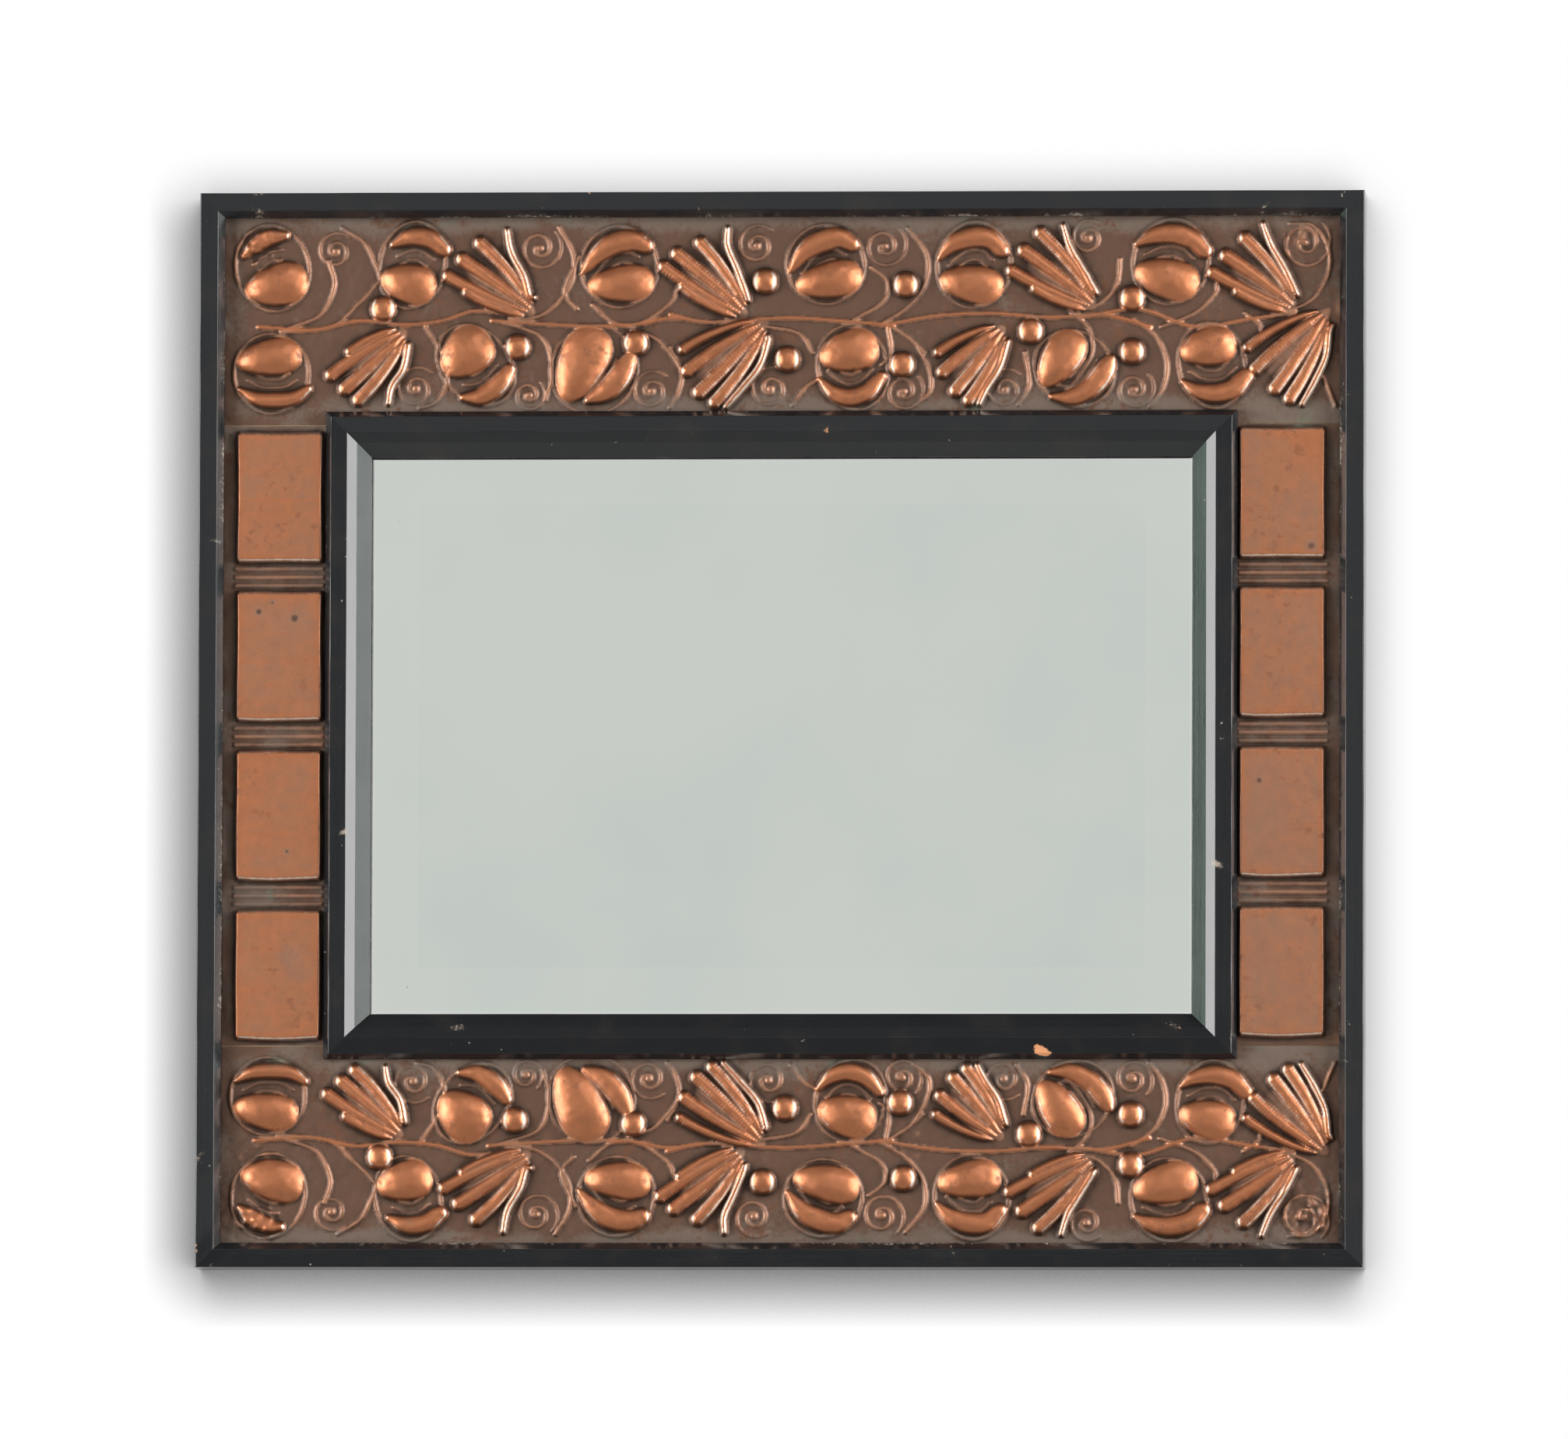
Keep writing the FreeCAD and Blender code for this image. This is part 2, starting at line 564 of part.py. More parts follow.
def dome(x, z, level, along, across, rise, turn):
    """Half of an ellipsoid that stands on a level and bulges to the front: its curved face."""
    ball = Part.makeSphere(1.0, FreeCAD.Vector(), FreeCAD.Vector(0, 0, 1), 0, 90, 360)
    shape = FreeCAD.Matrix()
    shape.scale(along, across, rise)
    ball = ball.transformGeometry(shape)
    ball.rotate(FreeCAD.Vector(), FreeCAD.Vector(0, 0, 1), turn)
    ball.rotate(FreeCAD.Vector(), FreeCAD.Vector(1, 0, 0), 90)
    ball.translate(FreeCAD.Vector(x, level, z))
    curved = max(ball.Faces, key=lambda face: face.Area)
    flat = min(ball.Faces, key=lambda face: face.Area)
    return [curved], flat.OuterWire


def raisedPad(x, z, level, wide, high, rise, slope):
    """A pad with sloping sides and a flat top: its side faces and its top."""
    def ring(halfWide, halfHigh, depth):
        points = [FreeCAD.Vector(x + a * halfWide, depth, z + b * halfHigh)
                  for a, b in ((-1, -1), (1, -1), (1, 1), (-1, 1))]
        return Part.makePolygon(points + points[:1])
    foot = ring(wide / 2, high / 2, level)
    top = ring(wide / 2 - slope, high / 2 - slope, level - rise)
    return Part.makeLoft([foot, top], False, True).Faces + [Part.Face(top)], foot


def embossedSheet(low, high, forms):
    """Closes a sheet between its low and high corner, with the forms raised from it."""
    front = valueOf(copperFront)
    back = valueOf(carcaseFront)
    sheetThickness = value("copper_thickness")

    def ring(level):
        points = [FreeCAD.Vector(x, level, z) for x, z in
                  ((low[0], low[1]), (high[0], low[1]), (high[0], high[1]), (low[0], high[1]))]
        return Part.makePolygon(points + points[:1])
    faces = Part.makeLoft([ring(front), ring(back)], False, True).Faces
    for level, shrink in ((front, 0), (back, sheetThickness)):
        holes = []
        for form in forms:
            skin, wire = form(level, shrink)
            faces.extend(skin)
            holes.append(wire)
        faces.extend(Part.makeFace([ring(level)] + holes, "Part::FaceMakerBullseye").Faces)
    shell = Part.makeCompound(faces)
    shell.sewShape()
    solid = Part.makeSolid(shell.Shells[0])
    if solid.Volume < 0:
        solid.reverse()
    return solid


def shrunk(size, less):
    return max(size - less, value("copper_thickness"))


def domeForm(x, z, along, across, rise, turn):
    """A dome of the sheet: the front skin, and behind it the same dome a sheet thickness less."""
    def build(level, less):
        return dome(x, z, level, shrunk(along, less), shrunk(across, less), rise, turn)
    return build


def padForm(x, z, wide, high, rise, slope):
    def build(level, less):
        return raisedPad(x, z, level, wide - 2 * less, high - 2 * less, rise, slope)
    return build


stripReach = valueOf("outer_width / 2 - outer_rail_width - outer_rail_lip")
stripLow = valueOf("sight_height / 2 + " + innerRailWidth)
stripHigh = valueOf("outer_height / 2 - outer_rail_width - outer_rail_lip")
columnLow = valueOf("sight_width / 2 + " + innerRailWidth)
columnMiddle = (columnLow + stripReach) / 2 - value("tile_inset")

# The forms keep their proportions on the strips, and follow each way of the columns by itself
stripGrowth = min(2 * stripReach / value("drawn_strip_width"),
                  (stripHigh - stripLow - value("window_drop")) / value("drawn_strip_height"))
acrossGrowth = (stripReach - columnLow) / value("drawn_column_width")
upGrowth = 2 * stripLow / value("drawn_column_height")


def ribForm(x, z):
    ribLength = (value("tile_width") / 2 - value("rib_end_gap")) * acrossGrowth
    return domeForm(x, z, ribLength, value("rib_width") / 2 * upGrowth, value("rib_rise"), 0)


def stripForms(flip):
    """The ornament of the top strip, or of the bottom strip as the same ornament turned over."""
    low = stripLow - flip * value("window_drop")
    forms = []

    def spot(across, up):
        return (2 * across - 1) * stripReach, flip * (low + up * (stripHigh - low))
    for shares, width, rise in ((lobeShares, "lobe_width", "lobe_rise"),
                                (crescentShares, "crescent_width", "crescent_rise")):
        for across, up, half, turn in shares:
            x, z = spot(across, up)
            forms.append(domeForm(x, z, half * value("drawn_strip_width") * stripGrowth,
                                  value(width) / 2 * stripGrowth, value(rise) * stripGrowth, flip * turn))
    for shares, width, rise in ((berryShares, "berry_diameter", "berry_rise"),
                                (eyeShares, "eye_diameter", "eye_rise")):
        for across, up in shares:
            x, z = spot(across, up)
            radius = value(width) / 2 * stripGrowth
            forms.append(domeForm(x, z, radius, radius, value(rise) * stripGrowth, 0))
    for foot, tips in tulipShares:
        footX, footZ = spot(*foot)
        for tip in tips:
            tipX, tipZ = spot(*tip)
            turn = math.degrees(math.atan2(tipZ - footZ, tipX - footX))
            half = math.hypot(tipX - footX, tipZ - footZ) * petalLengthShare / 2
            x = tipX + (footX - tipX) * petalLengthShare / 2
            z = tipZ + (footZ - tipZ) * petalLengthShare / 2
            forms.append(domeForm(x, z, half, value("petal_width") / 2 * stripGrowth,
                                  value("petal_rise") * stripGrowth, turn))
    seam = flip * valueOf(seamReach % "height") - value("window_drop")
    for hand in (-1, 1):
        forms.append(ribForm(hand * columnMiddle, seam + flip * value("rib_seam_gap") * upGrowth))
    return forms


def columnForms(hand):
    """Four raised tiles on a column, with three ribs between each pair."""
    x = hand * columnMiddle
    middle = -value("window_drop") - value("tile_drop") * upGrowth
    pitch = value("tile_pitch") * upGrowth
    forms = []
    for place in (-1.5, -0.5, 0.5, 1.5):
        forms.append(padForm(x, middle + place * pitch, value("tile_width") * acrossGrowth,
                             value("tile_height") * upGrowth, value("tile_rise"),
                             value("tile_slope") * min(acrossGrowth, upGrowth)))
    for place in (-1, 0, 1):
        for step in (-1, 0, 1):
            forms.append(ribForm(x, middle + place * pitch + step * value("rib_spacing") * upGrowth))
    return forms


petalLengthShare = 0.68
panelReach = valueOf(carcaseReach % "width" + " - sheet_gap")
columnInner = valueOf(seamReach % "width")
seamTop = valueOf(seamReach % "height" + windowMiddle)
seamBottom = valueOf("-" + seamReach % "height" + windowMiddle)
panelHigh = valueOf(carcaseReach % "height" + " - sheet_gap")
sheetGap = value("sheet_gap")
panels = {
    "copper_panel_top": ((-panelReach, seamTop), (panelReach, panelHigh), stripForms(1)),
    "copper_panel_bottom": ((-panelReach, -panelHigh), (panelReach, seamBottom), stripForms(-1)),
    "copper_panel_left": ((-panelReach, seamBottom + sheetGap), (-columnInner, seamTop - sheetGap),
                          columnForms(-1)),
    "copper_panel_right": ((columnInner, seamBottom + sheetGap), (panelReach, seamTop - sheetGap),
                           columnForms(1)),
}
for name, (low, high, forms) in panels.items():
    parts[name] = feature(name, embossedSheet(low, high, forms))

doc.recompute()

faults = []
for thing in doc.Objects:
    if "Invalid" in thing.State or "Error" in thing.State:
        faults.append("%s: %s" % (thing.Name, thing.State))
for name, thing in parts.items():
    thing.Label = name
    if thing.Shape.isNull() or not thing.Shape.isValid():
        faults.append(name + ": shape not valid")
if faults:
    raise RuntimeError("; ".join(faults))

os.makedirs("parts", exist_ok=True)
for name, thing in parts.items():
    thing.Shape.exportStep("parts/" + name + ".step")
    print("%-24s %3d solids  %10.1f mm3" % (name, len(thing.Shape.Solids), thing.Shape.Volume))
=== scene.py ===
import math
import bmesh
import bpy
import numpy as np
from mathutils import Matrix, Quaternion, Vector


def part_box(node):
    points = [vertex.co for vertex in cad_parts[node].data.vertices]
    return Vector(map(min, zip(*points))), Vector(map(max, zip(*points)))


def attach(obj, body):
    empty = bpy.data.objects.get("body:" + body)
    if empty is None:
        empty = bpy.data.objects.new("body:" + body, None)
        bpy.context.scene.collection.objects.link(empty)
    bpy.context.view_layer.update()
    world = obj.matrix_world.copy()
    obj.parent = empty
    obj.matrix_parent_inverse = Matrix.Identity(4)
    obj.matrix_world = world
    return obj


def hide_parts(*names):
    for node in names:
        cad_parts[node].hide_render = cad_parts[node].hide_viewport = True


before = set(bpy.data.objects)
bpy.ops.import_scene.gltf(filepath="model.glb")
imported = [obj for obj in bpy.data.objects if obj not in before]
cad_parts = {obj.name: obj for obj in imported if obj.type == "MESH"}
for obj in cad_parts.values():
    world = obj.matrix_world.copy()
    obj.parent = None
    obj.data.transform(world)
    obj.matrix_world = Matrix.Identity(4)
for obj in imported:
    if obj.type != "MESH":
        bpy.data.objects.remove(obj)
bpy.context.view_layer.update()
mm = 0.001
sides = {"top": 0, "right": 90, "bottom": 180, "left": 270}  # turn of each side about Y, in degrees


def boxOf(node):  # a node's low and high corners in metres
    low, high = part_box(node)
    return np.array(low), np.array(high)


outerLow, outerHigh = boxOf("outer_rail_top")
halfWidth = outerHigh[0]
halfHeight = outerHigh[2]
frontLevel = outerLow[1]
innerTopLow, innerTopHigh = boxOf("inner_rail_top")
innerBottomLow = boxOf("inner_rail_bottom")[0]
windowMiddle = (innerTopHigh[2] + innerBottomLow[2]) / 2
footWide = innerTopHigh[0]
footHigh = innerTopHigh[2] - windowMiddle
railWidth = innerTopHigh[2] - innerTopLow[2]
sightHigh = footHigh - railWidth
sightWide = footWide - railWidth
stripHigh = boxOf("copper_panel_top")[1]
print("frame read:", len(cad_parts), "nodes")


class Wire:  # a node's output that takes part in sums
    def __init__(self, tree, socket):
        self.tree = tree
        self.socket = socket

    def maths(self, operation, *others):
        return build(self.tree, "ShaderNodeMath", {"operation": operation}, [self, *others])

    def __add__(self, other):
        return self.maths("ADD", other)

    def __sub__(self, other):
        return self.maths("SUBTRACT", other)

    def __rsub__(self, other):
        return build(self.tree, "ShaderNodeMath", {"operation": "SUBTRACT"}, [other, self])

    def __mul__(self, other):
        return self.maths("MULTIPLY", other)

    __radd__ = __add__
    __rmul__ = __mul__

    def clip(self):
        return build(self.tree, "ShaderNodeClamp", {}, [self, 0.0, 1.0])

    def over(self, low, high):  # a smooth step from low to high
        return build(self.tree, "ShaderNodeMapRange", {"interpolation_type": "SMOOTHSTEP"},
                     [self, low, high, 0.0, 1.0])


def build(tree, kind, settings, values, out=0):  # one node: its settings first, then its sockets
    node = tree.nodes.new(kind)
    for name, setting in settings.items():
        setattr(node, name, setting)
    pairs = values.items() if isinstance(values, dict) else enumerate(values)
    for key, given in pairs:
        if isinstance(given, Wire):
            tree.links.new(given.socket, node.inputs[key])
        else:
            node.inputs[key].default_value = given
    return Wire(tree, node.outputs[out]) if len(node.outputs) else None


def asColour(given):  # a colour with its alpha, or a wire as it is
    return (*given, 1.0) if isinstance(given, tuple) else given


def mixed(tree, factor, first, second):  # two colours blended by a factor
    return build(tree, "ShaderNodeMix", {"data_type": "RGBA"},
                 {0: factor, 6: asColour(first), 7: asColour(second)}, out=2)


def noise(tree, where, scale, detail=3.0, roughness=0.55):  # cloudy noise from 0 to 1
    return build(tree, "ShaderNodeTexNoise", {},
                 {"Vector": where, "Scale": scale, "Detail": detail, "Roughness": roughness})


def places(tree, stretch=(1, 1, 1)):  # object coordinates in metres, stretched per axis
    where = build(tree, "ShaderNodeTexCoord", {}, [], out=3)
    return build(tree, "ShaderNodeMapping", {}, {"Vector": where, "Scale": stretch})


def attribute(tree, name):  # a value kept at the mesh's points
    return build(tree, "ShaderNodeAttribute", {"attribute_name": name}, [], out=2)


def bump(tree, height, distance):  # the normal tilted by a height
    return build(tree, "ShaderNodeBump", {}, {"Height": height, "Distance": distance})


def material(name, recipe, fixed):  # recipe gives what varies over the surface, fixed what doesn't
    made = bpy.data.materials.new(name)
    made.use_nodes = True
    tree = made.node_tree
    shader = tree.nodes["Principled BSDF"]
    for key, given in fixed.items():
        shader.inputs[key].default_value = given
    for key, wire in recipe(tree).items():
        tree.links.new(wire.socket, shader.inputs[key])
    return made


# Embossed copper: bright where it stands out and is rubbed, brown on the ground, dark in the hollows
# as patina and as painted shade, which also darkens flanks facing up or down and the tiles' long sides;
# flanks facing sideways take a pale painted highlight.
# The last row says how many clouds, mottles, specks, spots and green patches lie on a metre
copperLook = dict(
    ground=(0.146, 0.080, 0.054), stem=(0.36, 0.180, 0.110), high=(0.485, 0.176, 0.078),
    film=(0.195, 0.143, 0.113), darkPatinaAndShade=(0.045, 0.026, 0.018), tarnish=(0.20, 0.085, 0.045),
    worn=(0.86, 0.74, 0.63), verdigris=(0.17, 0.22, 0.16), roughness=0.43, grain=0.10 * mm,
    clouds=38.0, mottles=170.0, specks=560.0, spots=230.0, greens=62.0,
)


def copperRecipe(tree):
    look = copperLook
    where = places(tree)
    shine = attribute(tree, "shine")
    dust = attribute(tree, "dust")
    hollow = attribute(tree, "hollow")
    edge = attribute(tree, "worn")
    cloud = noise(tree, where, look["clouds"], 4.0)
    mottle = noise(tree, where, look["mottles"], 4.0, 0.6)
    fine = noise(tree, where, look["specks"], 3.0)
    brightShare = (shine + (cloud - 0.5) * 0.35 + (mottle - 0.5) * 0.40).clip()
    colour = mixed(tree, brightShare.over(0.05, 0.45), look["ground"], look["stem"])
    colour = mixed(tree, brightShare.over(0.40, 0.92), colour, look["high"])
    patchy = dust + (cloud - 0.5) * 0.9 + (mottle - 0.5) * 0.8 + (fine - 0.5) * 0.9
    film = patchy.over(0.2, 0.9) * (1.0 - brightShare.over(0.35, 0.7))
    colour = mixed(tree, film, colour, look["film"])
    spots = noise(tree, where, look["spots"], 3.0).over(0.52, 0.68) * cloud.over(0.40, 0.62)
    colour = mixed(tree, spots * 0.6, colour, look["tarnish"])
    # dark patina and painted shade: hollows, the ground beside raised forms, flanks facing up or down and
    # the tiles' long sides
    colour = mixed(tree, hollow.over(0.1, 0.9) * 0.85, colour, look["darkPatinaAndShade"])
    green = noise(tree, where, look["greens"], 4.0).over(0.60, 0.72) * dust.over(0.3, 0.8) * 0.45
    colour = mixed(tree, green, colour, look["verdigris"])
    # the pale tint: worn crests, pale lines along the tiles' top and bottom edges, and the painted highlight
    # on flanks facing sideways
    colour = mixed(tree, (edge + (fine - 0.5) * 0.5).over(0.4, 0.95), colour, look["worn"])
    rough = look["roughness"] + (1.0 - brightShare) * 0.16 + (mottle - 0.5) * 0.25 + film * 0.15 + spots * 0.2
    height = fine * 0.5 + mottle * 1.3 + cloud * 2.0
    return {"Base Color": colour, "Roughness": rough.clip(), "Normal": bump(tree, height, look["grain"])}


# Ebonised wood: near black and glossy, bare wood only where an arris is chipped or rubbed through.
# Streaks are the grain's lines per metre along and across a moulding
ebonyLook = dict(
    black=(0.008, 0.0083, 0.0096), brown=(0.020, 0.016, 0.014), bare=(0.27, 0.225, 0.18),
    raw=(0.62, 0.27, 0.12), fleck=(0.36, 0.33, 0.27), roughness=0.15, grain=0.04 * mm,
    streaks=(16.0, 420.0, 1.0), clouds=42.0, specks=620.0, flecks=290.0,
)


def ebonyRecipe(tree):
    look = ebonyLook
    where = places(tree)
    along = build(tree, "ShaderNodeMapping", {},
                  {"Vector": build(tree, "ShaderNodeUVMap", {}, []), "Scale": look["streaks"]})
    grain = noise(tree, along, 1.0, 4.0, 0.6)
    cloud = noise(tree, where, look["clouds"], 3.0)
    fine = noise(tree, where, look["specks"], 3.0)
    rub = (attribute(tree, "worn") + (cloud - 0.5) * 1.1 + (fine - 0.5) * 1.0).over(0.62, 1.05)
    chip = (attribute(tree, "raw") + (fine - 0.5) * 0.4).over(0.45, 0.6)
    fleck = noise(tree, where, look["flecks"], 2.0).over(0.745, 0.785)
    colour = mixed(tree, cloud.over(0.5, 0.8) * 0.6, look["black"], look["brown"])
    colour = mixed(tree, rub, colour, look["bare"])
    colour = mixed(tree, fleck * 0.6, colour, look["fleck"])
    colour = mixed(tree, chip, colour, look["raw"])
    rough = look["roughness"] + (cloud - 0.5) * 0.2 + rub * 0.25 + fleck * 0.3 + chip * 0.4
    height = grain + fine * 0.6 + cloud * 2.5 - chip * 3.0
    return {"Base Color": colour, "Roughness": rough.clip(), "Normal": bump(tree, height, look["grain"])}


# Bare wood: how many bends, streaks, tones and stains lie on a metre, and how much the grain draws them out
woodLook = dict(warps=14.0, streaks=160.0, tones=9.0, stains=18.0, drawnOut=0.06, grain=0.12 * mm)


def woodRecipe(pale, dark, grainAxis, rings=60.0):  # streaked along one axis, dusty and stained
    look = woodLook
    stretch = tuple(look["drawnOut"] if axis == grainAxis else 1.0 for axis in range(3))

    def recipe(tree):
        where = places(tree, stretch)
        plain = places(tree)
        warp = noise(tree, where, look["warps"], 2.0)
        streak = noise(tree, where, look["streaks"], 4.0, 0.6)
        shade = noise(tree, plain, look["tones"], 3.0)
        bands = build(tree, "ShaderNodeMath", {"operation": "SINE"}, [warp * rings]) * 0.5 + 0.5
        tone = (streak * 0.65 + bands * 0.35 + (shade - 0.5) * 0.5).clip()
        colour = mixed(tree, tone.over(0.2, 0.85), dark, pale)
        stain = noise(tree, plain, look["stains"], 4.0).over(0.6, 0.8) * 0.45
        colour = mixed(tree, stain, colour, tuple(part * 0.45 for part in dark))
        return {"Base Color": colour, "Roughness": 0.72 + (streak - 0.5) * 0.2,
                "Normal": bump(tree, streak + bands * 0.3, look["grain"])}
    return recipe


def metalRecipe(bright, dull, scale):  # old metal: a bright and a dull tone in clouds, finely scratched
    def recipe(tree):
        where = places(tree)
        cloud = noise(tree, where, scale, 4.0)
        fine = noise(tree, where, scale * 9, 3.0)
        colour = mixed(tree, (cloud + (fine - 0.5) * 0.4).over(0.35, 0.7), bright, dull)
        return {"Base Color": colour, "Roughness": 0.3 + cloud * 0.35,
                "Normal": bump(tree, fine + cloud, 0.04 * mm)}
    return recipe


# Silvered plate: its bevel's reflection is painted as a slightly paler band, with a painted highlight line
# at each side
mirrorLook = dict(
    silver=(0.905, 0.930, 0.885), bevel=(0.945, 0.965, 0.920), line=(1.0, 1.0, 0.97),
    shade=(0.84, 0.875, 0.845), spot=(0.40, 0.42, 0.39), bevelWidth=21.0 * mm, lineWidth=0.9 * mm,
    blur=0.6 * mm, clouds=7.0, spots=300.0, spotPatches=12.0, waves=6.0, waveDepth=0.2 * mm,
)


def mirrorRecipe(tree):
    look = mirrorLook
    where = places(tree)
    middle = build(tree, "ShaderNodeMapping", {}, {"Vector": where, "Location": (0, 0, -windowMiddle)})
    across = build(tree, "ShaderNodeSeparateXYZ", {}, [middle], out=0).maths("ABSOLUTE")
    upward = build(tree, "ShaderNodeSeparateXYZ", {}, [middle], out=2).maths("ABSOLUTE")
    inside = (sightWide - across).maths("MINIMUM", sightHigh - upward)  # distance from the moulding
    cloud = noise(tree, where, look["clouds"], 3.0)
    colour = mixed(tree, (cloud + (across + upward) * 0.4).over(0.45, 0.75), look["silver"], look["shade"])
    # painted reflection: a paler band as wide as the bevel, inside the moulding
    bevelReflectionShare = 1.0 - inside.over(look["bevelWidth"] - look["blur"], look["bevelWidth"] + look["blur"])
    colour = mixed(tree, bevelReflectionShare * 0.3, colour, look["bevel"])
    # painted highlight: a thin near-white line along the glass edge at the moulding
    rim = 1.0 - inside.over(look["lineWidth"] * 0.7, look["lineWidth"] * 1.8)
    colour = mixed(tree, rim, colour, look["line"])
    patches = noise(tree, where, look["spotPatches"], 2.0).over(0.5, 0.7)
    spots = noise(tree, where, look["spots"], 2.0).over(0.76, 0.80) * patches
    colour = mixed(tree, spots * 0.35, colour, look["spot"])
    return {"Base Color": colour, "Roughness": 0.03 + spots * 0.3,
            "Normal": bump(tree, noise(tree, where, look["waves"], 2.0), look["waveDepth"])}


copper = material("patinatedCopper", copperRecipe,
                  {"Metallic": 0.85, "IOR": 1.5, "Coat Weight": 0.2, "Coat Roughness": 0.25})
ebony = material("ebonisedWood", ebonyRecipe, {"IOR": 1.5})
mirror = material("silveredGlass", mirrorRecipe, {"Metallic": 1.0})
pineAcross = material("pineAcross", woodRecipe((0.40, 0.27, 0.16), (0.20, 0.12, 0.065), 0), {})
pineUp = material("pineUpright", woodRecipe((0.38, 0.25, 0.15), (0.19, 0.115, 0.06), 2), {})
boardWood = material("backBoardWood", woodRecipe((0.30, 0.205, 0.125), (0.14, 0.09, 0.05), 0, 90.0), {})
beech = material("beech", woodRecipe((0.50, 0.36, 0.24), (0.34, 0.22, 0.13), 2), {})
steel = material("oldSteel", metalRecipe((0.42, 0.40, 0.37), (0.16, 0.11, 0.08), 350.0), {"Metallic": 0.9})
brass = material("tarnishedBrass", metalRecipe((0.62, 0.45, 0.18), (0.30, 0.20, 0.09), 260.0),
                 {"Metallic": 1.0})
print("materials made")


def placed(name, data):  # an object for a mesh, lamp or camera, put in the scene
    piece = bpy.data.objects.new(name, data)
    bpy.context.scene.collection.objects.link(piece)
    return piece


def meshPiece(name, vertices, loops, sizes, smooth, attributes, paint):
    # faces as runs of vertex numbers: loops holds them end to end and sizes how many each has
    mesh = bpy.data.meshes.new(name)
    mesh.vertices.add(len(vertices))
    mesh.vertices.foreach_set("co", vertices.ravel())
    mesh.loops.add(len(loops))
    mesh.loops.foreach_set("vertex_index", loops)
    mesh.polygons.add(len(sizes))
    mesh.polygons.foreach_set("loop_start", np.concatenate([[0], np.cumsum(sizes)[:-1]]))
    mesh.polygons.foreach_set("use_smooth", smooth)
    mesh.update(calc_edges=True)
    for key, values in attributes.items():
        mesh.attributes.new(key, "FLOAT", "POINT").data.foreach_set("value", values.ravel())
    mesh.materials.append(paint)
    return placed(name, mesh)


def turnedAboutY(points, degrees):  # x and z turned by the angle's cosine and sine
    angle = math.radians(degrees)
    turned = points.copy()
    turned[..., 0] = points[..., 0] * math.cos(angle) + points[..., 2] * math.sin(angle)
    turned[..., 2] = points[..., 2] * math.cos(angle) - points[..., 0] * math.sin(angle)
    return turned


def smoothStep(values):  # three squares less two cubes, from 0 to 1
    held = np.clip(values, 0, 1)
    return held * held * (3 - 2 * held)


def wander(values, seed, scale):  # a few sines of unrelated lengths, added up
    draw = np.random.default_rng(seed)
    total = np.zeros_like(values)
    for power in (1.0, 2.3, 4.7, 9.1):
        total += np.sin(values / scale * power + draw.uniform(0, 7)) / power
    return total / 1.6


def roundedProfile(corners, radii, rubs, steps=4):  # straight runs joined by quadratic curves at the corners
    corners = np.array(corners, float)
    points = []
    wears = []
    for index, here in enumerate(corners):
        back = corners[index - 1] - here
        ahead = corners[(index + 1) % len(corners)] - here
        if radii[index] == 0:
            points.append(here)
            wears.append(0.0)
            continue
        backUnit = back / np.linalg.norm(back)
        aheadUnit = ahead / np.linalg.norm(ahead)
        half = math.acos(np.clip(backUnit @ aheadUnit, -1, 1)) / 2
        reach = radii[index] / math.tan(half)
        start = here + backUnit * reach
        end = here + aheadUnit * reach
        for step in np.linspace(0, 1, steps + 1):
            points.append(start * (1 - step) ** 2 + here * 2 * step * (1 - step) + end * step ** 2)
            wears.append(rubs[index])
    return np.array(points), np.array(wears)


# How the arrises wander from straight: depth, length of the waves and share of a side that fades at a
# mitre; chipLevel is how far back a chip reaches, and steps the number of rows along a side
arrisLook = dict(depth=0.06 * mm, wave=0.03, fade=0.03, chipLevel=6 * mm, steps=261)


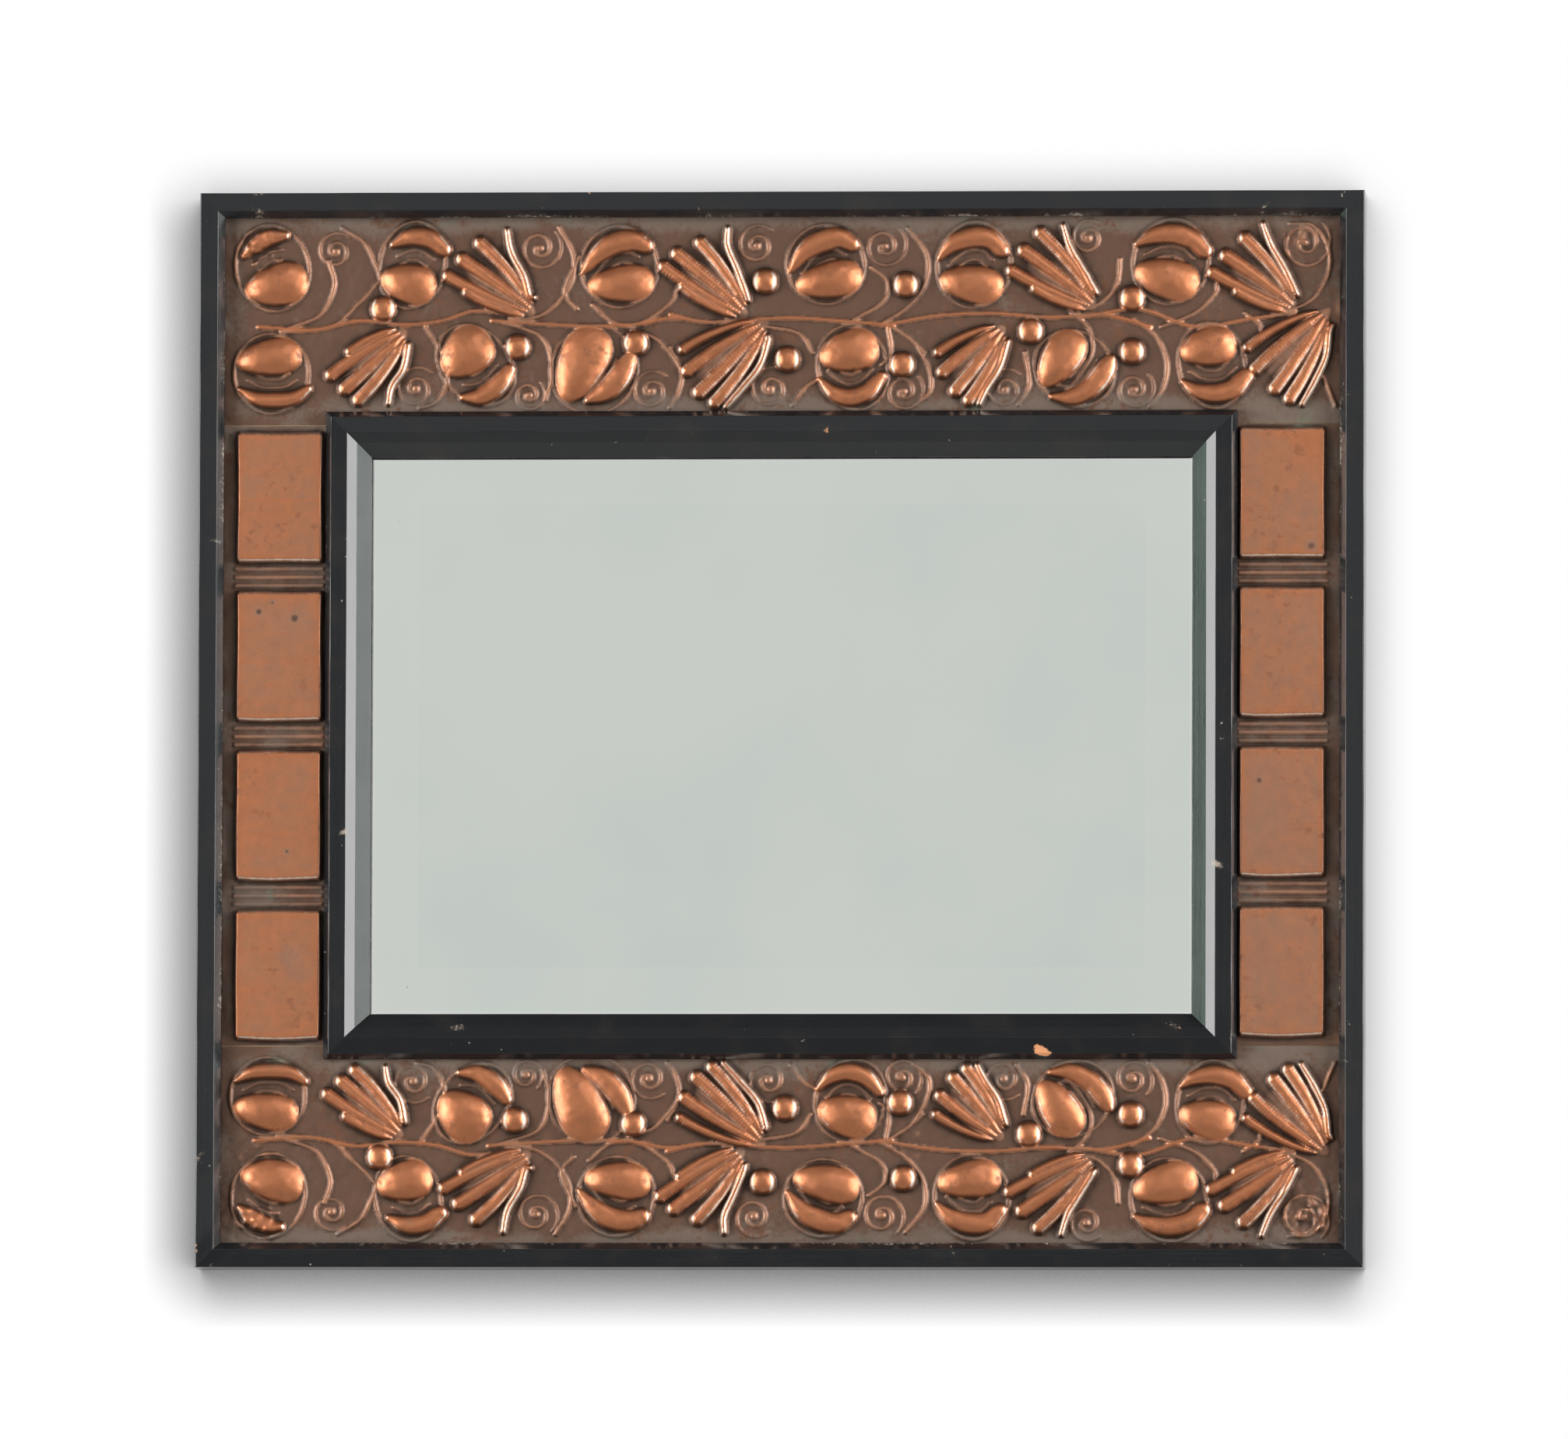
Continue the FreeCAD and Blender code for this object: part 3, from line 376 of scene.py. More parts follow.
def railPiece(name, shape, side, endOffset, middle, chips, seed):
    # profile points (reach, level) carried along X from mitre to mitre, then turned to their side
    profile, wears = roundedProfile(shape["corners"], shape["radii"], shape["rubs"])
    along = np.linspace(-1, 1, arrisLook["steps"])
    ends = profile[:, 0] + endOffset
    x = along[:, None] * ends[None, :]
    reach = np.broadcast_to(profile[:, 0], x.shape).copy()
    level = np.broadcast_to(profile[:, 1], x.shape).copy()
    fade = smoothStep((1 - np.abs(along)) / arrisLook["fade"])[:, None]
    wobble = np.stack([wander(x[:, k], seed + k, arrisLook["wave"]) for k in range(x.shape[1])], axis=1)
    rounding = fade * (wears > 0) * np.abs(wobble) * arrisLook["depth"]
    reach -= rounding
    level += rounding
    worn = wears[None, :] * (0.75 + 0.25 * wobble)
    raw = np.zeros_like(worn)
    for place, size, depth, bare, low, high in chips:  # a chip pulls the arris in round one place
        near = np.exp(-((x / ends.max() - place) * ends.max() / (size * mm)) ** 2)
        across = (profile[:, 0] > low) & (profile[:, 0] < high) & (wears > 0)
        cut = near * across[None, :] * (level < level.min() + arrisLook["chipLevel"])
        level += cut * depth * mm
        worn = np.maximum(worn, cut * (1.1 - bare))
        raw = np.maximum(raw, cut * bare)
    points = turnedAboutY(np.stack([x, level, reach], axis=-1), side)
    points[..., 2] += middle
    around = np.concatenate([[0], np.cumsum(np.linalg.norm(np.diff(profile, axis=0), axis=1))])
    uvs = np.stack([x + seed, np.broadcast_to(around[None, :], x.shape)], axis=-1)
    rows, columns = x.shape
    index = np.arange(rows * columns).reshape(rows, columns)
    closed = np.concatenate([index, index[:, :1]], axis=1)
    quads = np.stack([closed[:-1, :-1], closed[1:, :-1], closed[1:, 1:], closed[:-1, 1:]], axis=-1)
    loops = quads.ravel()
    sizes = np.full(loops.size // 4, 4)
    looks = {"worn": worn, "raw": raw}
    piece = meshPiece(name, points.reshape(-1, 3), loops, sizes, sizes > 0, looks, ebony)
    piece.data.uv_layers.new(name="UVMap").data.foreach_set("uv", uvs.reshape(-1, 2)[loops].ravel())
    piece.data.validate()
    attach(piece, "frame")
    endCaps(piece, index[0, ::-1], index[-1])
    piece.modifiers.new("weights", "WEIGHTED_NORMAL").keep_sharp = True
    return piece


def endCaps(piece, *loops):  # one flat, sharp-edged face over each end loop of a tube
    made = bmesh.new()
    made.from_mesh(piece.data)
    made.verts.ensure_lookup_table()
    for loop in loops:
        face = made.faces.new([made.verts[int(number)] for number in loop])
        face.smooth = False
        for edge in face.edges:
            edge.smooth = False
    bmesh.ops.recalc_face_normals(made, faces=made.faces[:])
    made.to_mesh(piece.data)
    made.free()


# Fall is how far the front tips back outward, and cover how far the lip stays off the copper's back
outerSizes = dict(chamfer=3 * mm, chamferDrop=3.5 * mm, fall=0.9 * mm, cover=0.8 * mm)


def outerShape(reach):  # full depth outside, a lip over the copper and a chamfer down to it
    lip = outerLow[2] - halfHeight + reach
    inner = boxOf("carcase_board_top")[1][2] - halfHeight + reach  # the carcase edge
    cover = stripHigh[1] - outerSizes["cover"]
    chamfer = outerSizes["chamfer"]
    corners = [(inner, 0), (reach, 0), (reach, frontLevel + outerSizes["fall"]), (lip + chamfer, frontLevel),
               (lip, frontLevel + outerSizes["chamferDrop"]), (lip, cover), (inner, cover)]
    radii = [0, 0.5 * mm, 0.7 * mm, 0.5 * mm, 0.4 * mm, 0, 0]
    rubs = [0, 0.2, 0.25, 0.3, 0.78, 0, 0]
    return dict(corners=corners, radii=radii, rubs=rubs)


# Chips as place along the side (-1 to 1), length and depth in millimetres, how bare the wood is,
# and the two reaches in metres that they lie between
outerChips = {
    "top": [(-0.90, 7, 0.10, 0.38, 0.22, 1), (-0.14, 1.0, 0.2, 0.6, 0.230, 0.235),
            (-0.33, 0.9, 0.2, 0.5, 0.236, 1), (0.83, 1.2, 0.1, 0.2, 0.23, 0.235)],
    "right": [(0.62, 1.5, 0.2, 0.3, 0.25, 0.2535), (-0.62, 1.0, 0.1, 0.3, 0.25, 0.2535)],
    "bottom": [(0.975, 4, 0.3, 0.4, 0.236, 1), (-0.3, 1.5, 0.1, 0.3, 0.23, 0.235)],
    "left": [(-0.965, 6, 0.4, 0.50, 0.256, 1), (-0.8, 9, 0.1, 0.35, 0.256, 1),
             (0.35, 2, 0.1, 0.2, 0.25, 0.2535)],
}
for number, (side, turn) in enumerate(sides.items()):
    reach = halfHeight if turn in (0, 180) else halfWidth
    offset = (halfWidth if turn in (0, 180) else halfHeight) - reach
    rail = railPiece("outerRail." + side, outerShape(reach), turn, offset, 0.0, outerChips[side],
                     11 + 20 * number)
    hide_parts("outer_rail_" + side)


sheetThickness = 0.6  # the copper's, in millimetres
innerSizes = dict(flat=7.1 * mm, chamfer=2.5 * mm, chamferDrop=4 * mm, fall=1.1 * mm, rebate=7.0 * mm,
                  seat=14.0 * mm, cover=0.2 * mm, breakRun=4.4 * mm, breakDrop=2.86 * mm, drop=8.73 * mm)


def innerShape(sight):  # a slope of two facets up from the glass, a flat, a chamfer and a tongue behind
    arris = innerTopLow[1]
    foot = sight + railWidth
    flatOut = foot - innerSizes["chamfer"]
    flatIn = flatOut - innerSizes["flat"]
    sightBack = innerTopHigh[1]
    carcase = boxOf("carcase_board_top")[0][1]
    cover = stripHigh[1] - sheetThickness * mm - innerSizes["cover"]
    seat = sight + innerSizes["seat"]
    tongue = sight + innerSizes["rebate"]
    corners = [(sight, sightBack), (tongue, sightBack), (tongue, carcase), (seat, carcase), (seat, cover),
               (foot, cover), (foot, arris + innerSizes["chamferDrop"]),
               (flatOut, arris + innerSizes["fall"]), (flatIn, arris),
               (flatIn - innerSizes["breakRun"], arris + innerSizes["breakDrop"]),
               (sight, arris + innerSizes["drop"])]
    radii = [0, 0, 0, 0, 0, 0, 0.5 * mm, 0.5 * mm, 0.6 * mm, 0.5 * mm, 0.35 * mm]
    rubs = [0, 0, 0, 0, 0, 0, 0.45, 0.25, 0.3, 0.1, 0.2]
    return dict(corners=corners, radii=radii, rubs=rubs)


innerChips = {
    "top": [(0.1, 2, 0.05, 0.6, 0.134, 0.1365)],
    "right": [(0.4, 2, 0.1, 0.0, 0.193, 0.195), (0.927, 8, 0.2, 0.45, 0.198, 0.2015)],
    "bottom": [(-0.577, 4.5, 0.5, 1.0, 0.1385, 0.143),
               (-0.87, 6, 0.1, 0.5, 0.129, 0.131), (0.70, 9, 0.05, 0.35, 0.129, 0.131)],
    "left": [(-0.3, 2, 0.1, 0.0, 0.193, 0.195), (-0.985, 3, 0.4, 0.6, 0.183, 0.195)],
}
for number, (side, turn) in enumerate(sides.items()):
    sight = sightHigh if turn in (0, 180) else sightWide
    offset = (sightWide if turn in (0, 180) else sightHigh) - sight
    rail = railPiece("innerRail." + side, innerShape(sight), turn, offset, windowMiddle, innerChips[side],
                     111 + 20 * number)
    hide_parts("inner_rail_" + side)
print("mouldings made")


# Embossed copper: height fields over the visible strips and columns, in millimetres
sheetFront = stripHigh[1] / mm - sheetThickness  # level of the flat sheet
# The inner edges of the lip bound the strips; underLip and underFoot run on below the mouldings
lipReach = (boxOf("outer_rail_left")[1][0] / -mm, boxOf("outer_rail_top")[0][2] / mm)
strip = dict(left=-lipReach[0], right=lipReach[0], outer=lipReach[1], underLip=2.2, underFoot=5.8,
             topFoot=innerTopHigh[2] / mm, bottomFoot=-innerBottomLow[2] / mm)

# Pods as (lobe: across, up, half length, half width, turn), (crescent: across, up, half width)
pods = [
    ((0.0456, 0.662, 14.6, 9.2, 14),
     [(0.016, 0.82, 1.5), (0.027, 0.875, 3.4), (0.04, 0.915, 3.4), (0.053, 0.925, 2.0)]),
    ((0.1647, 0.67, 12.9, 8.8, -12),
     [(0.151, 0.875, 1.4), (0.167, 0.915, 3.6), (0.184, 0.905, 4.0), (0.197, 0.85, 3.0)]),
    ((0.3555, 0.665, 15.2, 8.2, 5),
     [(0.32, 0.725, 1.0), (0.334, 0.82, 3.6), (0.35, 0.88, 4.6), (0.365, 0.893, 4.4),
      (0.377, 0.868, 3.2)]),
    ((0.542, 0.68, 15.4, 8.2, 12),
     [(0.507, 0.735, 1.0), (0.519, 0.83, 3.6), (0.535, 0.885, 4.6), (0.55, 0.905, 4.2),
      (0.562, 0.872, 3.0)]),
    ((0.67, 0.66, 14.6, 8.4, -8),
     [(0.641, 0.8, 1.2), (0.653, 0.87, 3.4), (0.669, 0.905, 4.4), (0.685, 0.9, 4.2),
      (0.697, 0.84, 3.0)]),
    ((0.845, 0.685, 15.0, 9.0, -14),
     [(0.818, 0.868, 1.2), (0.834, 0.912, 3.4), (0.851, 0.922, 4.2), (0.868, 0.893, 4.2),
      (0.879, 0.835, 3.2)]),
    ((0.0397, 0.275, 15.0, 8.2, 8),
     [(0.013, 0.105, 1.0), (0.028, 0.058, 2.8), (0.045, 0.048, 3.3), (0.062, 0.058, 3.0),
      (0.075, 0.105, 1.8)]),
    ((0.2172, 0.296, 13.2, 10.4, 40),
     [(0.215, 0.062, 1.6), (0.232, 0.068, 3.6), (0.247, 0.128, 4.0), (0.257, 0.205, 2.4)]),
    ((0.3217, 0.24, 18.2, 10.6, 65),
     [(0.328, 0.05, 1.6), (0.344, 0.1, 4.2), (0.357, 0.18, 4.6), (0.366, 0.275, 2.6)]),
    ((0.5604, 0.3, 13.7, 9.2, 14),
     [(0.534, 0.15, 1.0), (0.547, 0.08, 3.0), (0.562, 0.055, 3.8), (0.578, 0.088, 3.5),
      (0.59, 0.165, 2.0)]),
    ((0.7507, 0.262, 14.6, 8.6, 55),
     [(0.744, 0.062, 1.4), (0.763, 0.06, 3.5), (0.78, 0.115, 4.2), (0.791, 0.195, 4.0),
      (0.796, 0.25, 2.4)]),
    ((0.8822, 0.318, 13.0, 8.6, 12),
     [(0.859, 0.135, 1.0), (0.872, 0.088, 3.0), (0.889, 0.072, 4.0), (0.905, 0.098, 4.0),
      (0.917, 0.165, 3.0)]),
]
# Tulips as foot, tips of the straight petals, then the bend points of the last petal
tulips = [
    ((0.2708, 0.53), [(0.217, 0.616), (0.2, 0.7), (0.213, 0.785), (0.229, 0.87)],
     [(0.273, 0.6), (0.268, 0.7), (0.257, 0.82), (0.253, 0.935)]),
    ((0.462, 0.52), [(0.411, 0.64), (0.394, 0.745), (0.406, 0.812), (0.427, 0.868)],
     [(0.467, 0.62), (0.459, 0.74), (0.451, 0.85), (0.451, 0.94)]),
    ((0.775, 0.552), [(0.727, 0.628), (0.706, 0.72), (0.717, 0.825), (0.732, 0.915)],
     [(0.78, 0.62), (0.769, 0.73), (0.758, 0.84), (0.752, 0.95)]),
    ((0.9545, 0.54), [(0.908, 0.61), (0.886, 0.708), (0.898, 0.795), (0.915, 0.885)],
     [(0.96, 0.61), (0.95, 0.73), (0.938, 0.85), (0.931, 0.955)]),
    ((0.1564, 0.395), [(0.112, 0.31), (0.095, 0.19), (0.108, 0.12), (0.12, 0.062)],
     [(0.164, 0.33), (0.16, 0.22), (0.15, 0.13), (0.147, 0.045)]),
    ((0.48, 0.435), [(0.411, 0.318), (0.415, 0.208), (0.426, 0.098), (0.44, 0.045)],
     [(0.487, 0.35), (0.48, 0.23), (0.465, 0.12), (0.45, 0.022)]),
    ((0.6944, 0.405), [(0.64, 0.3), (0.644, 0.2), (0.656, 0.105), (0.668, 0.055)],
     [(0.701, 0.33), (0.695, 0.22), (0.684, 0.12), (0.677, 0.035)]),
    ((0.984, 0.48), [(0.917, 0.322), (0.924, 0.212), (0.942, 0.112), (0.955, 0.06)],
     [(0.99, 0.4), (0.987, 0.27), (0.976, 0.13), (0.966, 0.03)]),
]
berries = [(0.142, 0.532), (0.485, 0.669), (0.611, 0.649), (0.814, 0.576), (0.263, 0.332),
           (0.369, 0.352), (0.505, 0.266), (0.723, 0.408), (0.608, 0.237), (0.814, 0.301)]
# Scroll eyes as across, up, radius, and the hand of the curl
eyes = [
    (0.0993, 0.83, 6.6, 1), (0.2825, 0.843, 8.0, -1), (0.4775, 0.856, 7.2, 1), (0.5918, 0.849, 8.0, -1),
    (0.7744, 0.89, 6.4, 1), (0.968, 0.86, 9.4, -1), (0.1717, 0.121, 7.6, 1), (0.2732, 0.085, 6.0, -1),
    (0.3832, 0.105, 7.2, 1), (0.49, 0.115, 7.8, 1), (0.6093, 0.1, 7.2, -1), (0.7002, 0.108, 7.4, 1),
    (0.8157, 0.108, 7.2, -1),
]
vines = [
    [(0.105, 0.95), (0.125, 0.87), (0.135, 0.76), (0.147, 0.6)],
    [(0.093, 0.78), (0.098, 0.65), (0.085, 0.5), (0.055, 0.43)],
    [(0.142, 0.7), (0.12, 0.56), (0.095, 0.44), (0.05, 0.41)],
    [(0.3, 0.95), (0.313, 0.8), (0.309, 0.64), (0.285, 0.5), (0.255, 0.47)],
    [(0.33, 0.55), (0.35, 0.455), (0.375, 0.46), (0.4, 0.56), (0.407, 0.64)],
    [(0.45, 0.47), (0.48, 0.44), (0.515, 0.4), (0.528, 0.3)],
    [(0.58, 0.74), (0.595, 0.66), (0.59, 0.56), (0.565, 0.47)],
    [(0.613, 0.94), (0.63, 0.8), (0.628, 0.65), (0.612, 0.53), (0.59, 0.45)],
    [(0.595, 0.44), (0.598, 0.3), (0.59, 0.24)],
    [(0.6, 0.43), (0.615, 0.37), (0.628, 0.3)],
    [(0.62, 0.03), (0.633, 0.1), (0.633, 0.2), (0.622, 0.33)],
    [(0.712, 0.03), (0.722, 0.14), (0.718, 0.3)],
    [(0.757, 0.52), (0.775, 0.42), (0.778, 0.3), (0.765, 0.16), (0.748, 0.07)],
    [(0.815, 0.47), (0.835, 0.38), (0.845, 0.25), (0.842, 0.12), (0.83, 0.02)],
    [(0.84, 0.43), (0.87, 0.5), (0.888, 0.6), (0.89, 0.66)],
    [(0.915, 0.5), (0.928, 0.44), (0.93, 0.38)],
    [(0.945, 0.49), (0.975, 0.57), (0.99, 0.72), (0.988, 0.86), (0.975, 0.95), (0.955, 0.96)],
    [(0.803, 0.78), (0.8, 0.65), (0.785, 0.55), (0.765, 0.51)],
    [(0.51, 0.03), (0.521, 0.12), (0.532, 0.16)],
    [(0.4, 0.33), (0.41, 0.2), (0.408, 0.1), (0.4, 0.02)],
    [(0.355, 0.45), (0.385, 0.38), (0.395, 0.33), (0.408, 0.24)],
    [(0.18, 0.44), (0.195, 0.3), (0.2, 0.16), (0.19, 0.05), (0.175, 0.02)],
    [(0.25, 0.46), (0.285, 0.38), (0.294, 0.2), (0.288, 0.06)],
    [(0.985, 0.17), (0.996, 0.02)],
    [(0.318, 0.8), (0.305, 0.62), (0.316, 0.53)],
]
mainStem = [
    [(0.03, 0.44), (0.08, 0.425), (0.12, 0.47), (0.16, 0.45), (0.195, 0.47), (0.225, 0.52),
     (0.262, 0.49)],
    [(0.24, 0.47), (0.29, 0.45), (0.33, 0.44), (0.372, 0.45), (0.4, 0.48), (0.44, 0.455)],
    [(0.4, 0.5), (0.43, 0.46), (0.47, 0.47), (0.51, 0.48), (0.56, 0.46), (0.6, 0.44)],
    [(0.59, 0.44), (0.64, 0.49), (0.69, 0.5), (0.74, 0.48), (0.79, 0.49), (0.83, 0.43)],
    [(0.77, 0.48), (0.82, 0.52), (0.87, 0.43), (0.92, 0.47), (0.96, 0.5)],
]

# Heights and half widths of the raised forms in millimetres, and how brightly each is rubbed
relief = dict(
    stem=1.2, stemRise=1.15, stemShine=0.64, vine=1.05, vineRise=1.15, vineShine=0.27,
    lobeRise=4.9, lobeThick=1.13, lobeShine=0.83, crescentRise=3.9, crescentShine=0.76,
    crescentThick=1.22, crescentIn=1.1, ring=1.0, ringRise=1.1, ringShine=0.18, ringGap=0.8,
    groove=0.85, grooveRise=0.85, grooveShine=0.22, petalRise=3.5, petalShine=0.72, petalSpread=2.3,
    bentShine=0.70, knob=2.4, knobRise=3.6, knobShine=0.80, cup=7.0, cupRise=1.7, cupShine=0.34,
    berry=5.9, berryRise=4.6, berryShine=0.88, eyeKnob=1.9, eyeKnobRise=1.3, eyeKnobShine=0.32,
    eyeSpread=1.3, eyeRise=0.95, eyeShine=0.22, eyeThin=0.75, eyeThick=1.05, bentRoot=1.5, bentWide=1.95,
    bentTip=1.6, grooveShares=(0.50, 0.70), oval=2.15, flatSide=1.14,
)
petalWidths = (2.5, 3.2, 3.5, 3.4)
# Dents as across, up, size and depth: the sheet is crumpled there
dents = {
    "top": [(0.028, 0.86, 9.0, 0.55), (0.965, 0.87, 9.0, 0.40), (0.05, 0.50, 8.0, 0.15)],
    "bottom": [(0.030, 0.93, 11.0, 0.60), (0.972, 0.84, 12.0, 0.60), (0.62, 0.45, 10.0, 0.2),
               (0.03, 0.52, 8.0, 0.3)],
}
gridStep = 0.52  # between neighbouring points of a field
# Unevenness, wear and painted light, in millimetres: crumple and swell are how deep the sheet waves, raised
# is the height that counts as fully raised, and dust lies along the mouldings; the share that darkens flanks
# facing up or down is a painted shade, the flank rub a painted highlight on flanks facing sideways and the
# crest rub wear, all three shares
sheetWear = dict(crumple=0.06, swell=0.13, soften=0.3, raised=1.5, proudReach=2.2, crestReach=0.8,
                 deepest=0.3, border=2.4, flankShade=0.65, crestRub=0.3, flankHighlightShare=0.72, dust=0.16,
                 dustCaught=0.75, dustReach=6.5)


def newField(lowX, highX, lowUp, highUp):  # an empty height field over a rectangle, with what colours it
    columns = round((highX - lowX) / gridStep) + 1
    rows = round((highUp - lowUp) / gridStep) + 1
    x, up = np.meshgrid(np.linspace(lowX, highX, columns), np.linspace(lowUp, highUp, rows))
    field = {"x": x, "up": up}
    for name in ("height", "shine", "worn", "dust", "hollow"):
        field[name] = np.zeros_like(x)
    return field


def window(field, low, high, reach):  # the rows and columns round a box
    x, up = field["x"][0], field["up"][:, 0]
    across = slice(*np.searchsorted(x, (low[0] - reach, high[0] + reach)))
    upward = slice(*np.searchsorted(up, (low[1] - reach, high[1] + reach)))
    return upward, across


def raiseTo(field, place, height, shine):  # keeps the higher of two heights and the brighter of two shines
    part = field["height"][place]
    taken = height > part
    part[taken] = height[taken]
    bright = field["shine"][place]
    cover = height > 0.12
    bright[cover] = np.maximum(bright[cover], shine)


def curve(points, step=0.7):  # a Catmull-Rom curve through rows of numbers, the first two being its place
    points = np.array(points, float)
    ends = np.vstack([2 * points[0] - points[1], points, 2 * points[-1] - points[-2]])
    made = []
    for index in range(1, len(ends) - 2):
        p, q, r, s = ends[index - 1:index + 3]
        count = max(2, int(np.linalg.norm((r - q)[:2]) / step))
        t = np.linspace(0, 1, count, endpoint=False)[:, None]
        made.append(0.5 * (2 * q + (r - p) * t + (2 * p - 5 * q + 4 * r - s) * t ** 2
                           + (3 * q - p - 3 * r + s) * t ** 3))
    return np.vstack(made + [points[-1:]])


def stroke(field, path, rise, shine, power=0.6):
    # a round ridge along rows of x, up and half width: the rise times a power of one less the square of
    # the distance over the half width, and lower where the path is thin
    radii = np.maximum(path[:, 2], 0.35)
    upward, across = window(field, path[:, :2].min(0), path[:, :2].max(0), radii.max() + 1)
    x = field["x"][upward, across][..., None] - path[:, 0]
    up = field["up"][upward, across][..., None] - path[:, 1]
    ratio = (x ** 2 + up ** 2) / radii ** 2
    share = np.clip(1 - ratio.min(-1), 0, 1)
    swell = (radii / radii.max())[ratio.argmin(-1)]
    raiseTo(field, (upward, across), rise * share ** power * (0.35 + 0.65 * swell), shine)


def bean(field, centre, half, wide, turn, rise, shine, tail=0.0, hand=0, power=0.7):
    # a dome over an oval, narrower towards its tail and flatter on the side that hand gives: the rise
    # times a power of one less the oval's power of both distances
    upward, across = window(field, centre, centre, max(half, wide) * 1.25 + 1)
    x = field["x"][upward, across] - centre[0]
    up = field["up"][upward, across] - centre[1]
    angle = math.radians(turn)
    along = (x * math.cos(angle) + up * math.sin(angle)) / half
    side = (up * math.cos(angle) - x * math.sin(angle)) / wide
    side = side / np.clip(1 + tail * along, 0.2, 2)
    side = np.where(side * hand > 0, side * relief["flatSide"], side)
    share = np.clip(1 - np.abs(along) ** relief["oval"] - np.abs(side) ** relief["oval"], 0, 1)
    raiseTo(field, (upward, across), rise * share ** power, shine)


def blurred(values, radius):  # a Gaussian blur through the frequencies
    rows, columns = values.shape
    padded = np.pad(values, 24, mode="edge")
    fy = np.fft.fftfreq(padded.shape[0], gridStep)[:, None]
    fx = np.fft.rfftfreq(padded.shape[1], gridStep)[None, :]
    spectrum = np.fft.rfft2(padded) * np.exp(-2 * (math.pi * radius) ** 2 * (fx ** 2 + fy ** 2))
    return np.fft.irfft2(spectrum, padded.shape)[24:24 + rows, 24:24 + columns]


def ripple(shape, size, seed):  # smooth random waves of one size, of unit spread
    waves = blurred(np.random.default_rng(seed).standard_normal(shape), size)
    return waves / waves.std()


def scroll(centre, radius, hand, turns=1.7, count=120):  # its radius shrinks evenly towards its eye
    angle = np.linspace(0, turns * 2 * math.pi, count)
    reach = radius * (1 - 0.86 * angle / angle[-1])
    x = centre[0] + reach * np.cos(angle * hand + 0.8)
    up = centre[1] + reach * np.sin(angle * hand + 0.8)
    return np.stack([x, up, np.linspace(relief["eyeThin"], relief["eyeThick"], count)], axis=1)


def petalPath(foot, tip, bow, wide):  # foot to tip, bowed sideways, fine at the foot and widest at the tip
    sideways = np.array([foot[1] - tip[1], tip[0] - foot[0]])
    t = np.linspace(0, 1, 26)[:, None]
    middle = (foot + tip) / 2 + sideways * bow
    path = foot * (1 - t) ** 2 + middle * 2 * t * (1 - t) + tip * t ** 2
    radii = wide * (0.68 + 0.32 * np.sin(np.clip(t * 1.12, 0, 1) * math.pi / 2) ** 1.2)
    radii = radii * (0.42 + 0.58 * np.clip(t / 0.15, 0, 1))
    return np.hstack([path, radii])


def addPod(field, centre, lobe, arch):  # a lobe, a crescent over it, two ridges between, a ring round both
    half, wide, turn = lobe
    wide = wide * relief["lobeThick"]
    towards = arch[:, :2].mean(0) - centre
    unit = towards / np.linalg.norm(towards)
    arch = arch * (1, 1, relief["crescentThick"]) - np.append(unit * relief["crescentIn"], 0)
    angle = math.radians(turn)
    outward = np.array([-math.sin(angle), math.cos(angle)])
    hand = 1 if towards @ outward > 0 else -1
    reach = (arch[:, :2] - centre) @ outward * hand + arch[:, 2]
    span = reach.max() + wide
    middle = centre + outward * hand * (span / 2 - wide)
    circle = np.linspace(0, 2 * math.pi, 90)
    along = (half + relief["ringGap"] + 1.0) * np.cos(circle)
    out = (span / 2 + relief["ringGap"] + relief["ring"]) * np.sin(circle)
    ring = np.stack([middle[0] + along * math.cos(angle) - out * math.sin(angle),
                     middle[1] + along * math.sin(angle) + out * math.cos(angle),
                     np.full_like(circle, relief["ring"])], axis=1)
    stroke(field, ring, relief["ringRise"], relief["ringShine"])
    for share in relief["grooveShares"]:
        ridge = arch[:, :2] * share + centre * (1 - share)
        path = np.hstack([ridge, np.full((len(ridge), 1), relief["groove"])])
        stroke(field, curve(path), relief["grooveRise"], relief["grooveShine"])
    stroke(field, curve(arch), relief["crescentRise"], relief["crescentShine"], 0.62)
    bean(field, centre, half, wide, turn, relief["lobeRise"], relief["lobeShine"], 0.20, hand)


def addTulip(field, foot, tips, bends):  # four fluted petals and a bent one that fan out from one foot
    tips = np.array(tips)
    axis = tips.mean(0) - foot
    across = np.array([-axis[1], axis[0]]) / np.linalg.norm(axis)
    if (tips[-1] - tips[0]) @ across < 0:
        across = -across
    turn = math.degrees(math.atan2(axis[1], axis[0]))
    bean(field, foot + axis * 0.42, np.linalg.norm(axis) * 0.56, relief["cup"], turn, relief["cupRise"],
         relief["cupShine"], 0.35, power=0.8)
    for number, tip in enumerate(tips):
        start = foot + across * (number - 1.5) * relief["petalSpread"]
        bow = (0.10, 0.05, -0.02, -0.07)[number] * (-1 if axis[1] < 0 else 1)
        wide = petalWidths[number]
        stroke(field, petalPath(start, tip, bow, wide), relief["petalRise"], relief["petalShine"], 0.62)
        bean(field, tip, relief["knob"], relief["knob"], 0, relief["knobRise"], relief["knobShine"],
             power=0.6)
    root = foot + across * 2.6 * relief["petalSpread"]
    last = np.array([[*root, relief["bentRoot"]]] + [[*bend, relief["bentWide"]] for bend in bends])
    last[-1, 2] = relief["bentTip"]
    stroke(field, curve(last), relief["petalRise"], relief["bentShine"], 0.6)


